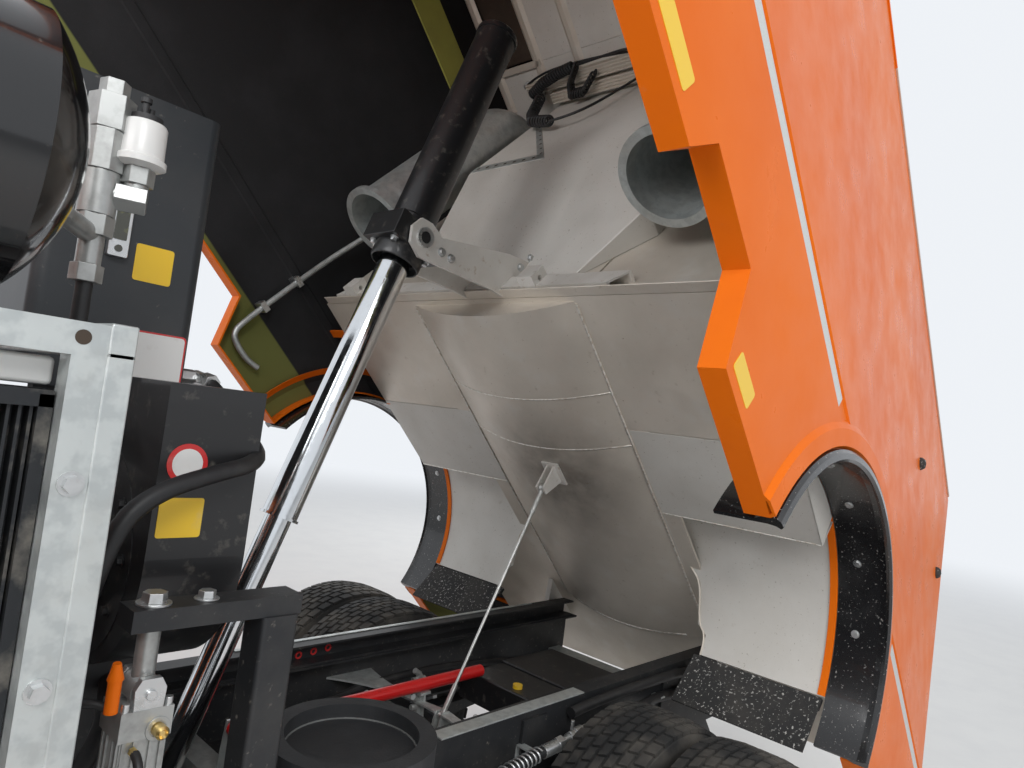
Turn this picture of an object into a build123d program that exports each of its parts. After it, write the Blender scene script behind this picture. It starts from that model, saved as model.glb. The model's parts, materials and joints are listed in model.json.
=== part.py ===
from build123d import *
from math import cos, hypot, radians, sin, sqrt
import os

os.makedirs("parts", exist_ok=True)

# Street sweeper truck, millimetres, +X forward, +Y left, +Z up, ground at Z = 0.
# Everything is drawn with X counted from the rear axle and the hopper lying down.
# The last step of each piece moves it into the shared frame, tipped where it tips.

# Main sizes
WHEELBASE = 3800.0
FRONT_OVERHANG = 1420.0
HALF_WIDTH = 1250.0
TYRE_R = 522.0
TYRE_W = 295.0
RIM_R = 286.0
AXLE_Z = TYRE_R
TWIN_PITCH = 330.0
REAR_OUTER_Y = 1050.0
FRONT_WHEEL_Y = 1030.0
KINGPIN_Y = 870.0
KINGPIN_R = 22.0
SPINDLE_R = 38.0
RUN_GAP = 0.06
TOUCH_GAP = 0.3

# Frame
RAIL_Y = 465.0
RAIL_FLANGE = 80.0
RAIL_WALL = 9.0
RAIL_TOP = 950.0
RAIL_H = 240.0
RAIL_REAR_X = -1080.0
RAIL_FRONT_X = 4950.0
SUB_H = 80.0
SUB_W = 70.0
SUB_WALL = 8.0
SUB_REAR_X = -1050.0
SUB_FRONT_X = 3020.0
SUB_TOP = RAIL_TOP + SUB_H

# Hopper, lying down
HINGE_X = -1000.0
HINGE_Z = 910.0
HINGE_PIN_R = 25.0
TIP_DEG = 45.0
FLOOR_Z = SUB_TOP + 20.0
HOP_REAR_X = -1550.0
HOP_FRONT_X = 1010.0
HOP_TOP_Z = 2800.0
HOP_FLOOR_Y = 1090.0
HOP_TOP_Y = 930.0
SHEET = 10.0
BELLY_Z = 962.0
BELLY_Y = 430.0
BELLY_FRONT_X = HOP_FRONT_X - 20.0
BELLY_REAR_X = -900.0
ARCH_R = 655.0
LINER_T = 10.0
ARCH_CUT = 260.0
ARCH_END_X = sqrt(ARCH_R ** 2 - ARCH_CUT ** 2)
FLAP_LOW_Z = 560.0
PANEL_T = 8.0
CREASE_Z = 1096.0
STRIPE_H = 50.0
STRIPE_DEPTH = 6.0
PANEL_TOP_Y = 1030.0
HOOD_FRONT_X = 3100.0
PANEL_REAR_X = -1580.0
DOOR_T = 30.0
DOOR_HINGE_Z = HOP_TOP_Z + 30.0

# Tipping cylinder, a two stage ram hung in the hopper by its gland end
TRUN_X = 1387.0
TRUN_Z = 839.0
TRUN_R = 20.0
RAM_FOOT_X = 1380.0
RAM_FOOT_Z = 700.0
BARREL_R = 77.0
STAGE1_R = 54.0
STAGE2_R = 41.0
BARREL_ABOVE = 930.0
BARREL_BELOW = 75.0
STAGE1_STROKE = 920.0
FOOT_EYE_R = 30.0

# Limit rope and safety prop
ROPE_Y = 30.0
ROPE_FOOT_X = 293.0
ROPE_FOOT_Z = 848.0
ROPE_LUG_X = 178.0
ROPE_LUG_Z = 867.0
ROPE_R = 6.0
PROP_Y = -90.0
PROP_Z = 925.0
PROP_R = 24.0
PROP_FRONT_X = 1050.0
PROP_REAR_X = -20.0
ROPE_EAR_Y = 13.0
PROP_EAR_Y = 27.0

# Suction ducts
DUCT_X = 1280.0
DUCT_Y = 760.0
DUCT_Z = 1300.0
DUCT_R = 150.0
DUCT_FLANGE_R = 175.0
DUCT_T = 5.0
DUCT_BEND_R = 200.0
DUCT_WALL_Z = 2380.0

# Cab
CAB_BACK_X = 3140.0
CAB_HALF_W = 1150.0
CAB_FLOOR_Z = 1000.0
CAB_TOP_Z = 2760.0
CAB_SKIN = 35.0
CAB_PIVOT_X = 5000.0
CAB_PIVOT_Z = 800.0
CAB_ARCH_R = 680.0
GLASS_T = 6.0
DOOR_HINGE_X = 4945.0
DOOR_HINGE_Y = CAB_HALF_W + 14.0

# Derived stations
FRONT_AXLE_X = WHEELBASE
NOSE_X = WHEELBASE + FRONT_OVERHANG
CAB_NOSE_X = NOSE_X - 20.0
TIP = radians(TIP_DEG)
TAIL_DX = PANEL_REAR_X - DOOR_T - HINGE_X
TAIL_DZ = HOP_TOP_Z + 60.0 - HINGE_Z
TAIL_X = HINGE_X + TAIL_DX * cos(TIP) - TAIL_DZ * sin(TIP)
REAR_AXLE_X = -(NOSE_X + TAIL_X) / 2

STAND = Pos(REAR_AXLE_X, 0, 0)
TIPPED = STAND * Pos(HINGE_X, 0, HINGE_Z) * Rot(0, -TIP_DEG, 0) * Pos(-HINGE_X, 0, -HINGE_Z)
SIDES = (("left", 1), ("right", -1))


def hand_over(shape, name, pose=STAND):
    placed = pose * shape
    placed.label = name
    export_step(placed, "parts/" + name + ".step")


def block(x0, x1, y0, y1, z0, z1, mode=Mode.ADD):
    with Locations(((x0 + x1) / 2, (y0 + y1) / 2, (z0 + z1) / 2)):
        Box(abs(x1 - x0), abs(y1 - y0), abs(z1 - z0), mode=mode)


def rod(start, end, radius, mode=Mode.ADD):
    axis = Vector(*end) - Vector(*start)
    with Locations(Plane(origin=start, z_dir=axis).location):
        Cylinder(radius, axis.length, align=(Align.CENTER, Align.CENTER, Align.MIN), mode=mode)


def tube(start, end, radius, wall):
    rod(start, end, radius)
    rod(start, end, radius - wall, mode=Mode.SUBTRACT)


def side_shape(points, y0, y1, mode=Mode.ADD):
    # A profile seen from the side, from y0 to y1
    with BuildSketch(Plane.XZ.offset(-min(y0, y1))) as profile:
        with BuildLine():
            Polyline(*points, close=True)
        make_face()
    extrude(profile.sketch, amount=-abs(y1 - y0), mode=mode)


def cross_shape(points, x0, x1, mode=Mode.ADD):
    # A profile seen from the front, from x0 to x1
    with BuildSketch(Plane.YZ.offset(min(x0, x1))) as profile:
        with BuildLine():
            Polyline(*points, close=True)
        make_face()
    extrude(profile.sketch, amount=abs(x1 - x0), mode=mode)


def plan_shape(points, z0, z1, mode=Mode.ADD):
    # A profile seen from above, from z0 to z1
    with BuildSketch(Plane.XY.offset(min(z0, z1))) as profile:
        with BuildLine():
            Polyline(*points, close=True)
        make_face()
    extrude(profile.sketch, amount=abs(z1 - z0), mode=mode)


def turned(points, x, y, z, mode=Mode.ADD):
    # A section of (distance along Y, radius) turned about a line along Y
    section = Plane(origin=(x, y, z), x_dir=(0, 1, 0), z_dir=(1, 0, 0))
    with BuildSketch(section) as profile:
        with BuildLine():
            Polyline(*points, close=True)
        make_face()
    revolve(profile.sketch, axis=Axis((x, y, z), (0, 1, 0)), mode=mode)


def tyre_at(x, y, z):
    # Bead, bulging side wall, rounded shoulder and flat crown of one tyre
    half = TYRE_W / 2
    inner = [
        (half * 0.6, RIM_R + BEAD_H), (half * 0.62, RIM_R), (half * SEAT_SHARE, RIM_R),
        (half * SEAT_SHARE, RIM_R + RIM_LIP + 2), (half * 0.9, RIM_R + 44), (half, RIM_R + 105),
        (half * 0.97, TYRE_R - 55), (half * 0.8, TYRE_R - 8), (half * 0.45, TYRE_R),
    ]
    turned(inner + [(-away, radius) for away, radius in reversed(inner)], x, y, z)


# Tyres and rims
BEAD_H = 20.0
RIM_LIP = 12.0
SEAT_SHARE = 0.76
FRONT_RIM_WALL = 12.0
HUB_R = 88.0
HAND_HOLES = 8
HAND_HOLE_R = 30.0
HAND_HOLE_PITCH_R = 200.0


def rim_section(side):
    # Bead seats and drop well, one closed ring, over a tyre that it holds from inside
    half = TYRE_W / 2
    lip = half * SEAT_SHARE + TOUCH_GAP
    edge = lip + 6
    return [
        (side * edge, RIM_R + RIM_LIP), (side * lip, RIM_R + RIM_LIP), (side * lip, RIM_R - TOUCH_GAP),
        (side * half * 0.3, RIM_R - 14), (-side * half * 0.3, RIM_R - 26),
        (-side * lip, RIM_R - TOUCH_GAP), (-side * lip, RIM_R + RIM_LIP), (-side * edge, RIM_R + RIM_LIP),
        (-side * edge, RIM_R - 13), (-side * half * 0.3, RIM_R - 39),
        (side * half * 0.3, RIM_R - 27), (side * edge, RIM_R - 13),
    ]


def disc_section(side, face, hub_in):
    # Dished disc from the well of the rim to the flat face where it is bolted
    half = TYRE_W / 2
    return [
        (side * half * 0.1, RIM_R - 30), (side * half * 0.3, RIM_R - 30),
        (side * (face - 30), 205), (side * face, 150), (side * face, hub_in),
        (side * (face - FRONT_RIM_WALL), hub_in), (side * (face - FRONT_RIM_WALL), 145),
        (side * (face - 45), 200),
    ]


for name, side in SIDES:
    with BuildPart() as front_tyre:
        tyre_at(FRONT_AXLE_X, side * FRONT_WHEEL_Y, AXLE_Z)
    hand_over(front_tyre.part, "front_tyre_" + name)

    with BuildPart() as front_rim:
        y = side * FRONT_WHEEL_Y
        turned(rim_section(side), FRONT_AXLE_X, y, AXLE_Z)
        turned(disc_section(side, 120, 70), FRONT_AXLE_X, y, AXLE_Z)
        hub = [
            (-side * 60, SPINDLE_R + RUN_GAP), (side * 140, SPINDLE_R + RUN_GAP),
            (side * 140, 0), (side * 165, 0), (side * 165, 62), (side * 150, 70),
            (side * 118, HUB_R), (side * 100, HUB_R), (side * 60, 110), (-side * 60, 110),
        ]
        turned(hub, FRONT_AXLE_X, y, AXLE_Z)
        with Locations(Plane(origin=(FRONT_AXLE_X, y, AXLE_Z), z_dir=(0, 1, 0)).location):
            with PolarLocations(HAND_HOLE_PITCH_R, HAND_HOLES):
                Cylinder(HAND_HOLE_R, 420, mode=Mode.SUBTRACT)
    hand_over(front_rim.part, "front_rim_" + name)

    with BuildPart() as rear_tyres:
        tyre_at(0, side * REAR_OUTER_Y, AXLE_Z)
        tyre_at(0, side * (REAR_OUTER_Y - TWIN_PITCH), AXLE_Z)
    hand_over(rear_tyres.part, "rear_tyres_" + name)

    with BuildPart() as rear_rims:
        y_mid = side * (REAR_OUTER_Y - TWIN_PITCH / 2)
        y_out = side * REAR_OUTER_Y
        y_in = side * (REAR_OUTER_Y - TWIN_PITCH)
        turned(rim_section(-side), 0, y_out, AXLE_Z)
        turned(disc_section(-side, TWIN_PITCH / 2, 110), 0, y_out, AXLE_Z)
        turned(rim_section(side), 0, y_in, AXLE_Z)
        turned(disc_section(side, TWIN_PITCH / 2, 110), 0, y_in, AXLE_Z)
        hub = [
            (-side * 150, SPINDLE_R + 30 + RUN_GAP), (side * 190, SPINDLE_R + 30 + RUN_GAP),
            (side * 190, 0), (side * 225, 0), (side * 225, 78), (side * 205, 92),
            (side * 60, 112), (-side * 60, 150), (-side * 150, 150),
        ]
        turned(hub, 0, y_mid, AXLE_Z)
        with Locations(Plane(origin=(0, y_mid, AXLE_Z), z_dir=(0, 1, 0)).location):
            with PolarLocations(HAND_HOLE_PITCH_R, HAND_HOLES):
                Cylinder(HAND_HOLE_R, 320, mode=Mode.SUBTRACT)
    hand_over(rear_rims.part, "rear_rims_" + name)

# Axles and steering knuckles
AXLE_EYE_R = 48.0
AXLE_EYE_H = 110.0
BEAM_NECK = 120.0
SPRING_Y = 410.0
SPRING_W = 75.0
SPRING_T = 60.0
REAR_SPINDLE_R = SPINDLE_R + 30.0
HOUSING_R = 75.0
DIFF_R = 190.0

with BuildPart() as front_axle:
    # Dropped beam between the springs, an eye at each end for the kingpin
    beam = [
        (-KINGPIN_Y, AXLE_Z - 45), (-KINGPIN_Y + BEAM_NECK, AXLE_Z - 50), (-520, AXLE_Z - 100),
        (520, AXLE_Z - 100), (KINGPIN_Y - BEAM_NECK, AXLE_Z - 50), (KINGPIN_Y, AXLE_Z - 45),
        (KINGPIN_Y, AXLE_Z + 45), (KINGPIN_Y - 60, AXLE_Z + 35), (520, AXLE_Z - 10),
        (-520, AXLE_Z - 10), (-KINGPIN_Y + 60, AXLE_Z + 35), (-KINGPIN_Y, AXLE_Z + 45),
    ]
    cross_shape(beam, FRONT_AXLE_X - 42, FRONT_AXLE_X + 42)
    for name, side in SIDES:
        y = side * KINGPIN_Y
        rod((FRONT_AXLE_X, y, AXLE_Z - AXLE_EYE_H / 2), (FRONT_AXLE_X, y, AXLE_Z + AXLE_EYE_H / 2), AXLE_EYE_R)
        rod((FRONT_AXLE_X, y, AXLE_Z - 99), (FRONT_AXLE_X, y, AXLE_Z + 99), KINGPIN_R + RUN_GAP, mode=Mode.SUBTRACT)
        # Leaf spring pack over the beam, hung from two brackets on the rail
        spring = [
            (FRONT_AXLE_X - 640, RAIL_TOP - RAIL_H - 60), (FRONT_AXLE_X - 300, AXLE_Z + 40),
            (FRONT_AXLE_X - 60, AXLE_Z - 10), (FRONT_AXLE_X + 60, AXLE_Z - 10),
            (FRONT_AXLE_X + 300, AXLE_Z + 40), (FRONT_AXLE_X + 640, RAIL_TOP - RAIL_H - 60),
            (FRONT_AXLE_X + 640, RAIL_TOP - RAIL_H - 30), (FRONT_AXLE_X + 200, AXLE_Z + 72),
            (FRONT_AXLE_X - 200, AXLE_Z + 72), (FRONT_AXLE_X - 640, RAIL_TOP - RAIL_H - 30),
        ]
        side_shape(spring, side * (SPRING_Y - SPRING_W / 2), side * (SPRING_Y + SPRING_W / 2))
        for end in (-640, 640):
            block(FRONT_AXLE_X + end - 35, FRONT_AXLE_X + end + 35, side * 375, side * 450, RAIL_TOP - RAIL_H - 80, RAIL_TOP - RAIL_H)
hand_over(front_axle.part, "front_axle")

with BuildPart() as rear_axle:
    # Banjo housing, spindles into the twin wheels, springs and the drive shaft flange
    rod((0, -430, AXLE_Z), (0, 430, AXLE_Z), HOUSING_R)
    rod((0, -560, AXLE_Z), (0, 560, AXLE_Z), REAR_SPINDLE_R + 20)
    rod((0, -1060, AXLE_Z), (0, 1060, AXLE_Z), REAR_SPINDLE_R)
    with Locations((0, 0, AXLE_Z)):
        Sphere(DIFF_R)
    rod((0, 0, AXLE_Z + 20), (300, 0, AXLE_Z + 25), 85)
    rod((300, 0, AXLE_Z + 25), (2450, 0, AXLE_Z + 75), 45)
    for name, side in SIDES:
        spring = [
            (-620, RAIL_TOP - RAIL_H - 60), (-260, AXLE_Z + 95), (-60, AXLE_Z + 60),
            (60, AXLE_Z + 60), (260, AXLE_Z + 95), (620, RAIL_TOP - RAIL_H - 60),
            (620, RAIL_TOP - RAIL_H - 30), (200, AXLE_Z + 140), (-200, AXLE_Z + 140),
            (-620, RAIL_TOP - RAIL_H - 30),
        ]
        side_shape(spring, side * (SPRING_Y - SPRING_W / 2), side * (SPRING_Y + SPRING_W / 2))
        for end in (-620, 620):
            block(end - 35, end + 35, side * 375, side * 450, RAIL_TOP - RAIL_H - 80, RAIL_TOP - RAIL_H)
hand_over(rear_axle.part, "rear_axle")

for name, side in SIDES:
    with BuildPart() as knuckle:
        # Forked arms over and under the axle eye, brake backing disc and spindle
        y = side * KINGPIN_Y
        gap = AXLE_EYE_H / 2 + 1.0
        rod((FRONT_AXLE_X, y, AXLE_Z - gap - 26), (FRONT_AXLE_X, y, AXLE_Z + gap + 26), KINGPIN_R)
        for z0, z1 in ((AXLE_Z - gap - 26, AXLE_Z - gap), (AXLE_Z + gap, AXLE_Z + gap + 26)):
            rod((FRONT_AXLE_X, y, z0), (FRONT_AXLE_X, y, z1), 44)
            block(FRONT_AXLE_X - 40, FRONT_AXLE_X + 40, y, y + side * 80, z0, z1)
        y_plate = y + side * 62
        rod((FRONT_AXLE_X, y_plate, AXLE_Z), (FRONT_AXLE_X, y_plate + side * 30, AXLE_Z), 170)
        rod((FRONT_AXLE_X, y_plate, AXLE_Z), (FRONT_AXLE_X, side * FRONT_WHEEL_Y + side * 130, AXLE_Z), SPINDLE_R)
        # Track rod arm
        arm_z = AXLE_Z - gap - 26
        plan_shape(
            [(FRONT_AXLE_X + 30, y - side * 30), (FRONT_AXLE_X + 30, y + side * 30),
             (FRONT_AXLE_X - 200, y - side * 25), (FRONT_AXLE_X - 200, y - side * 70)],
            arm_z, arm_z + 26)
    hand_over(knuckle.part, "knuckle_" + name)

# Frame rails, subframe and cross members
with BuildPart() as frame_rails:
    for name, side in SIDES:
        channel = [
            (side * RAIL_Y, RAIL_TOP - RAIL_H), (side * RAIL_Y, RAIL_TOP),
            (side * (RAIL_Y - RAIL_FLANGE), RAIL_TOP), (side * (RAIL_Y - RAIL_FLANGE), RAIL_TOP - RAIL_WALL),
            (side * (RAIL_Y - RAIL_WALL), RAIL_TOP - RAIL_WALL),
            (side * (RAIL_Y - RAIL_WALL), RAIL_TOP - RAIL_H + RAIL_WALL),
            (side * (RAIL_Y - RAIL_FLANGE), RAIL_TOP - RAIL_H + RAIL_WALL),
            (side * (RAIL_Y - RAIL_FLANGE), RAIL_TOP - RAIL_H),
        ]
        cross_shape(channel, RAIL_REAR_X, RAIL_FRONT_X)
hand_over(frame_rails.part, "frame_rails")

CROSS_X = (-1000.0, -560.0, ROPE_FOOT_X, PROP_FRONT_X, 2080.0, 2380.0, 4860.0)
CROSS_Z = RAIL_TOP - RAIL_H + RAIL_WALL
CROSS_H = 50.0
CROSS_W = 90.0
FOOT_EAR_Y = 48.0
FOOT_PLATE_T = 12.0
FOOT_PLATE_Z = 628.0
PROP_PIN_R = 9.0
GUSSET_Z = 856.0
GUSSET_T = 8.0
GUSSET_REACH = 190.0
with BuildPart() as crossmembers:
    half = RAIL_Y - RAIL_WALL
    for x in CROSS_X:
        block(x - CROSS_W / 2, x + CROSS_W / 2, -half, half, CROSS_Z, CROSS_Z + CROSS_H)
        block(x - CROSS_W / 2 + 8, x + CROSS_W / 2 - 8, -half, half, CROSS_Z + 8, CROSS_Z + CROSS_H - 8, mode=Mode.SUBTRACT)
    # Ears that hold the foot of the limit rope and the hinge of the prop
    top = CROSS_Z + CROSS_H
    for side in (-1, 1):
        y0 = ROPE_Y + side * ROPE_EAR_Y
        side_shape(
            [(ROPE_FOOT_X - 40, top - 4), (ROPE_FOOT_X + 40, top - 4), (ROPE_FOOT_X + 18, ROPE_FOOT_Z + 20),
             (ROPE_FOOT_X - 18, ROPE_FOOT_Z + 20)], y0, y0 + side * 8)
        y0 = PROP_Y + side * PROP_EAR_Y
        side_shape(
            [(PROP_FRONT_X - 40, top - 4), (PROP_FRONT_X + 40, top - 4), (PROP_FRONT_X + 24, PROP_Z + 24),
             (PROP_FRONT_X - 24, PROP_Z + 24)], y0, y0 + side * 8)
    rod((PROP_FRONT_X, PROP_Y - PROP_EAR_Y - 12, PROP_Z), (PROP_FRONT_X, PROP_Y + PROP_EAR_Y + 12, PROP_Z), PROP_PIN_R)
    # Two leaf shaped gussets from the foot of the rope out to the rails
    for side in (-1, 1):
        root, rail = ROPE_Y + side * (ROPE_EAR_Y + 7), side * (RAIL_Y - RAIL_WALL - TOUCH_GAP)
        with BuildSketch(Plane.XY.offset(GUSSET_Z)) as leaf:
            with BuildLine():
                Line((ROPE_FOOT_X - 24, root), (ROPE_FOOT_X + 24, root))
                RadiusArc((ROPE_FOOT_X + 24, root), (ROPE_FOOT_X + GUSSET_REACH, rail), side * 620)
                Line((ROPE_FOOT_X + GUSSET_REACH, rail), (ROPE_FOOT_X - 30, rail))
                RadiusArc((ROPE_FOOT_X - 30, rail), (ROPE_FOOT_X - 24, root), side * 900)
            make_face()
        extrude(leaf.sketch, amount=GUSSET_T)
    # Rest of the prop's free end
    block(ROPE_FOOT_X - 25, ROPE_FOOT_X + 25, PROP_Y - 20, PROP_Y + 20, PROP_Z - PROP_R - 10, PROP_Z - PROP_R - TOUCH_GAP)
    block(ROPE_FOOT_X - 5, ROPE_FOOT_X + 5, PROP_Y - 16, PROP_Y + 16, top - 2, PROP_Z - PROP_R - 8)
    # Saddle under the rails with the ears of the tipping ram's foot
    saddle = [
        (-RAIL_Y + 4, RAIL_TOP - RAIL_H - TOUCH_GAP), (-RAIL_Y + RAIL_FLANGE, RAIL_TOP - RAIL_H - TOUCH_GAP),
        (-RAIL_Y + RAIL_FLANGE + 60, FOOT_PLATE_Z + FOOT_PLATE_T), (RAIL_Y - RAIL_FLANGE - 60, FOOT_PLATE_Z + FOOT_PLATE_T),
        (RAIL_Y - RAIL_FLANGE, RAIL_TOP - RAIL_H - TOUCH_GAP), (RAIL_Y - 4, RAIL_TOP - RAIL_H - TOUCH_GAP),
        (RAIL_Y - 4, RAIL_TOP - RAIL_H - 12), (RAIL_Y - RAIL_FLANGE - 4, RAIL_TOP - RAIL_H - 12),
        (RAIL_Y - RAIL_FLANGE - 56, FOOT_PLATE_Z), (-RAIL_Y + RAIL_FLANGE + 56, FOOT_PLATE_Z),
        (-RAIL_Y + RAIL_FLANGE + 4, RAIL_TOP - RAIL_H - 12), (-RAIL_Y + 4, RAIL_TOP - RAIL_H - 12),
    ]
    cross_shape(saddle, RAM_FOOT_X - 90, RAM_FOOT_X + 90)
    for side in (-1, 1):
        ear = [
            (RAM_FOOT_X - 75, FOOT_PLATE_Z + 2), (RAM_FOOT_X + 75, FOOT_PLATE_Z + 2),
            (RAM_FOOT_X + 30, RAM_FOOT_Z + 34), (RAM_FOOT_X - 30, RAM_FOOT_Z + 34),
        ]
        side_shape(ear, side * FOOT_EAR_Y, side * (FOOT_EAR_Y + 16))
    # Tilt brackets and rear rests of the cab
    for side in (-1, 1):
        rod((CAB_PIVOT_X, side * 545, CAB_PIVOT_Z), (CAB_PIVOT_X, side * 604, CAB_PIVOT_Z), 16)
        bracket = [
            (4880, RAIL_TOP - 160), (CAB_PIVOT_X - 30, CAB_PIVOT_Z - 60), (CAB_PIVOT_X + 24, CAB_PIVOT_Z - 34),
            (CAB_PIVOT_X + 20, CAB_PIVOT_Z), (CAB_PIVOT_X + 5, CAB_PIVOT_Z + 17), (CAB_PIVOT_X - 18, CAB_PIVOT_Z + 17),
            (4880, RAIL_TOP - 60),
        ]
        side_shape(bracket, side * 528, side * 546)
        block(4860, 4900, side * (RAIL_Y + TOUCH_GAP), side * 546, RAIL_TOP - 160, RAIL_TOP - 60)
        # Rear rest of the cab
        block(3200, 3280, side * (RAIL_Y - 60), side * (RAIL_Y + 40), RAIL_TOP + TOUCH_GAP, CAB_FLOOR_Z - TOUCH_GAP)
hand_over(crossmembers.part, "crossmembers")

HINGE_EAR_IN = RAIL_Y + 40.0
EAR_T = 30.0
with BuildPart() as subframe:
    for name, side in SIDES:
        channel = [
            (side * RAIL_Y, RAIL_TOP), (side * RAIL_Y, SUB_TOP),
            (side * (RAIL_Y - SUB_W), SUB_TOP), (side * (RAIL_Y - SUB_W), SUB_TOP - SUB_WALL),
            (side * (RAIL_Y - SUB_WALL), SUB_TOP - SUB_WALL),
            (side * (RAIL_Y - SUB_WALL), RAIL_TOP + SUB_WALL),
            (side * (RAIL_Y - SUB_W), RAIL_TOP + SUB_WALL), (side * (RAIL_Y - SUB_W), RAIL_TOP),
        ]
        cross_shape(channel, SUB_REAR_X, SUB_FRONT_X)
        # Hinge plate outside the rail, with the pin that the hopper turns on
        plate = [
            (HINGE_X - 60, HINGE_Z - 60), (HINGE_X + 60, HINGE_Z - 60),
            (HINGE_X + 200, SUB_TOP - 10), (SUB_REAR_X, SUB_TOP - 10), (HINGE_X - 60, HINGE_Z + 30),
        ]
        side_shape(plate, side * (RAIL_Y + TOUCH_GAP), side * (RAIL_Y + 24))
        block(SUB_REAR_X + 60, SUB_REAR_X + 200, side * (RAIL_Y - 5), side * (RAIL_Y + 10), SUB_TOP - 60, SUB_TOP - 14)
        rod((HINGE_X, side * (RAIL_Y + 10), HINGE_Z), (HINGE_X, side * (HINGE_EAR_IN + EAR_T + 14), HINGE_Z), HINGE_PIN_R)
        rod((HINGE_X, side * (HINGE_EAR_IN + EAR_T + 2), HINGE_Z), (HINGE_X, side * (HINGE_EAR_IN + EAR_T + 14), HINGE_Z), HINGE_PIN_R + 16)
        # Fixing brackets down the rail
        for x in (-600.0, 300.0, 1100.0, 1800.0, 2700.0):
            block(x - 60, x + 60, side * (RAIL_Y + TOUCH_GAP), side * (RAIL_Y + 12), RAIL_TOP - 90, RAIL_TOP + 60)
            block(x - 50, x + 50, side * (RAIL_Y - 4), side * (RAIL_Y + 4), RAIL_TOP + 12, RAIL_TOP + 50)
hand_over(subframe.part, "subframe")


# Hopper vessel, one stainless shell with a rounded belly and an open rear end
def vessel_section(inset):
    floor = FLOOR_Z + inset
    roof = HOP_TOP_Z - inset
    low_y = HOP_FLOOR_Y - inset
    top_y = HOP_TOP_Y - inset
    return [
        (-low_y, floor), (low_y, floor), (low_y, FLOOR_Z + 60), (top_y, roof - 40),
        (top_y - 60, roof), (-top_y + 60, roof), (-top_y, roof - 40), (-low_y, FLOOR_Z + 60),
    ]


def trough(inset, lid_z, x0, x1, mode=Mode.ADD):
    # Rolled belly sheet between the frame rails, an arc closed by a flat line above
    edge_y = BELLY_Y - 1.6 * inset
    with BuildSketch(Plane.YZ.offset(x0)) as profile:
        with BuildLine():
            ThreePointArc((-edge_y, FLOOR_Z), (0, BELLY_Z + inset), (edge_y, FLOOR_Z))
            Polyline((edge_y, FLOOR_Z), (edge_y, lid_z), (-edge_y, lid_z), (-edge_y, FLOOR_Z))
        make_face()
    extrude(profile.sketch, amount=x1 - x0, mode=mode)


ARCH_IN_Y = RAIL_Y + 60.0
with BuildPart() as hopper_shell:
    cross_shape(vessel_section(0), HOP_REAR_X, HOP_FRONT_X)
    trough(0, FLOOR_Z + 5, BELLY_REAR_X, BELLY_FRONT_X)
    cross_shape(vessel_section(SHEET), HOP_REAR_X - 1, HOP_FRONT_X - SHEET, mode=Mode.SUBTRACT)
    trough(SHEET, FLOOR_Z + SHEET + 1, BELLY_REAR_X + SHEET, BELLY_FRONT_X - SHEET, mode=Mode.SUBTRACT)
    # Gaps in floor and wall that the wheel arch liners fill
    for name, side in SIDES:
        y0, y1 = side * (ARCH_IN_Y - TOUCH_GAP), side * (HOP_FLOOR_Y + 5)
        rod((0, y0, AXLE_Z), (0, y1, AXLE_Z), ARCH_R + LINER_T + TOUCH_GAP, mode=Mode.SUBTRACT)
    # Mouths of the two suction ducts in the front wall
    for name, side in SIDES:
        y = side * DUCT_Y
        rod((HOP_FRONT_X - 60, y, DUCT_WALL_Z), (HOP_FRONT_X + 20, y, DUCT_WALL_Z), DUCT_R - 20, mode=Mode.SUBTRACT)
    # Roof edge over the side panels
    block(HOP_REAR_X, HOP_FRONT_X, -PANEL_TOP_Y - 6, PANEL_TOP_Y + 6, HOP_TOP_Z - 4, HOP_TOP_Z + 6)
hand_over(hopper_shell.part, "hopper_shell", TIPPED)

with BuildPart() as arch_liners:
    for name, side in SIDES:
        y_in, y_wall = side * ARCH_IN_Y, side * HOP_FLOOR_Y
        turned(
            [(0, 0), (0, ARCH_R + LINER_T), (y_wall - y_in, ARCH_R + LINER_T), (y_wall - y_in, ARCH_R),
             (side * LINER_T, ARCH_R), (side * LINER_T, 0)], 0, y_in, AXLE_Z)
    # The drums end level with the top of the mudflaps
    drum_reach = ARCH_R + LINER_T + 5
    block(
        -drum_reach, drum_reach, -HOP_FLOOR_Y - 5, HOP_FLOOR_Y + 5, AXLE_Z - drum_reach, AXLE_Z + ARCH_CUT,
        mode=Mode.SUBTRACT)
hand_over(arch_liners.part, "arch_liners", TIPPED)

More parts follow.
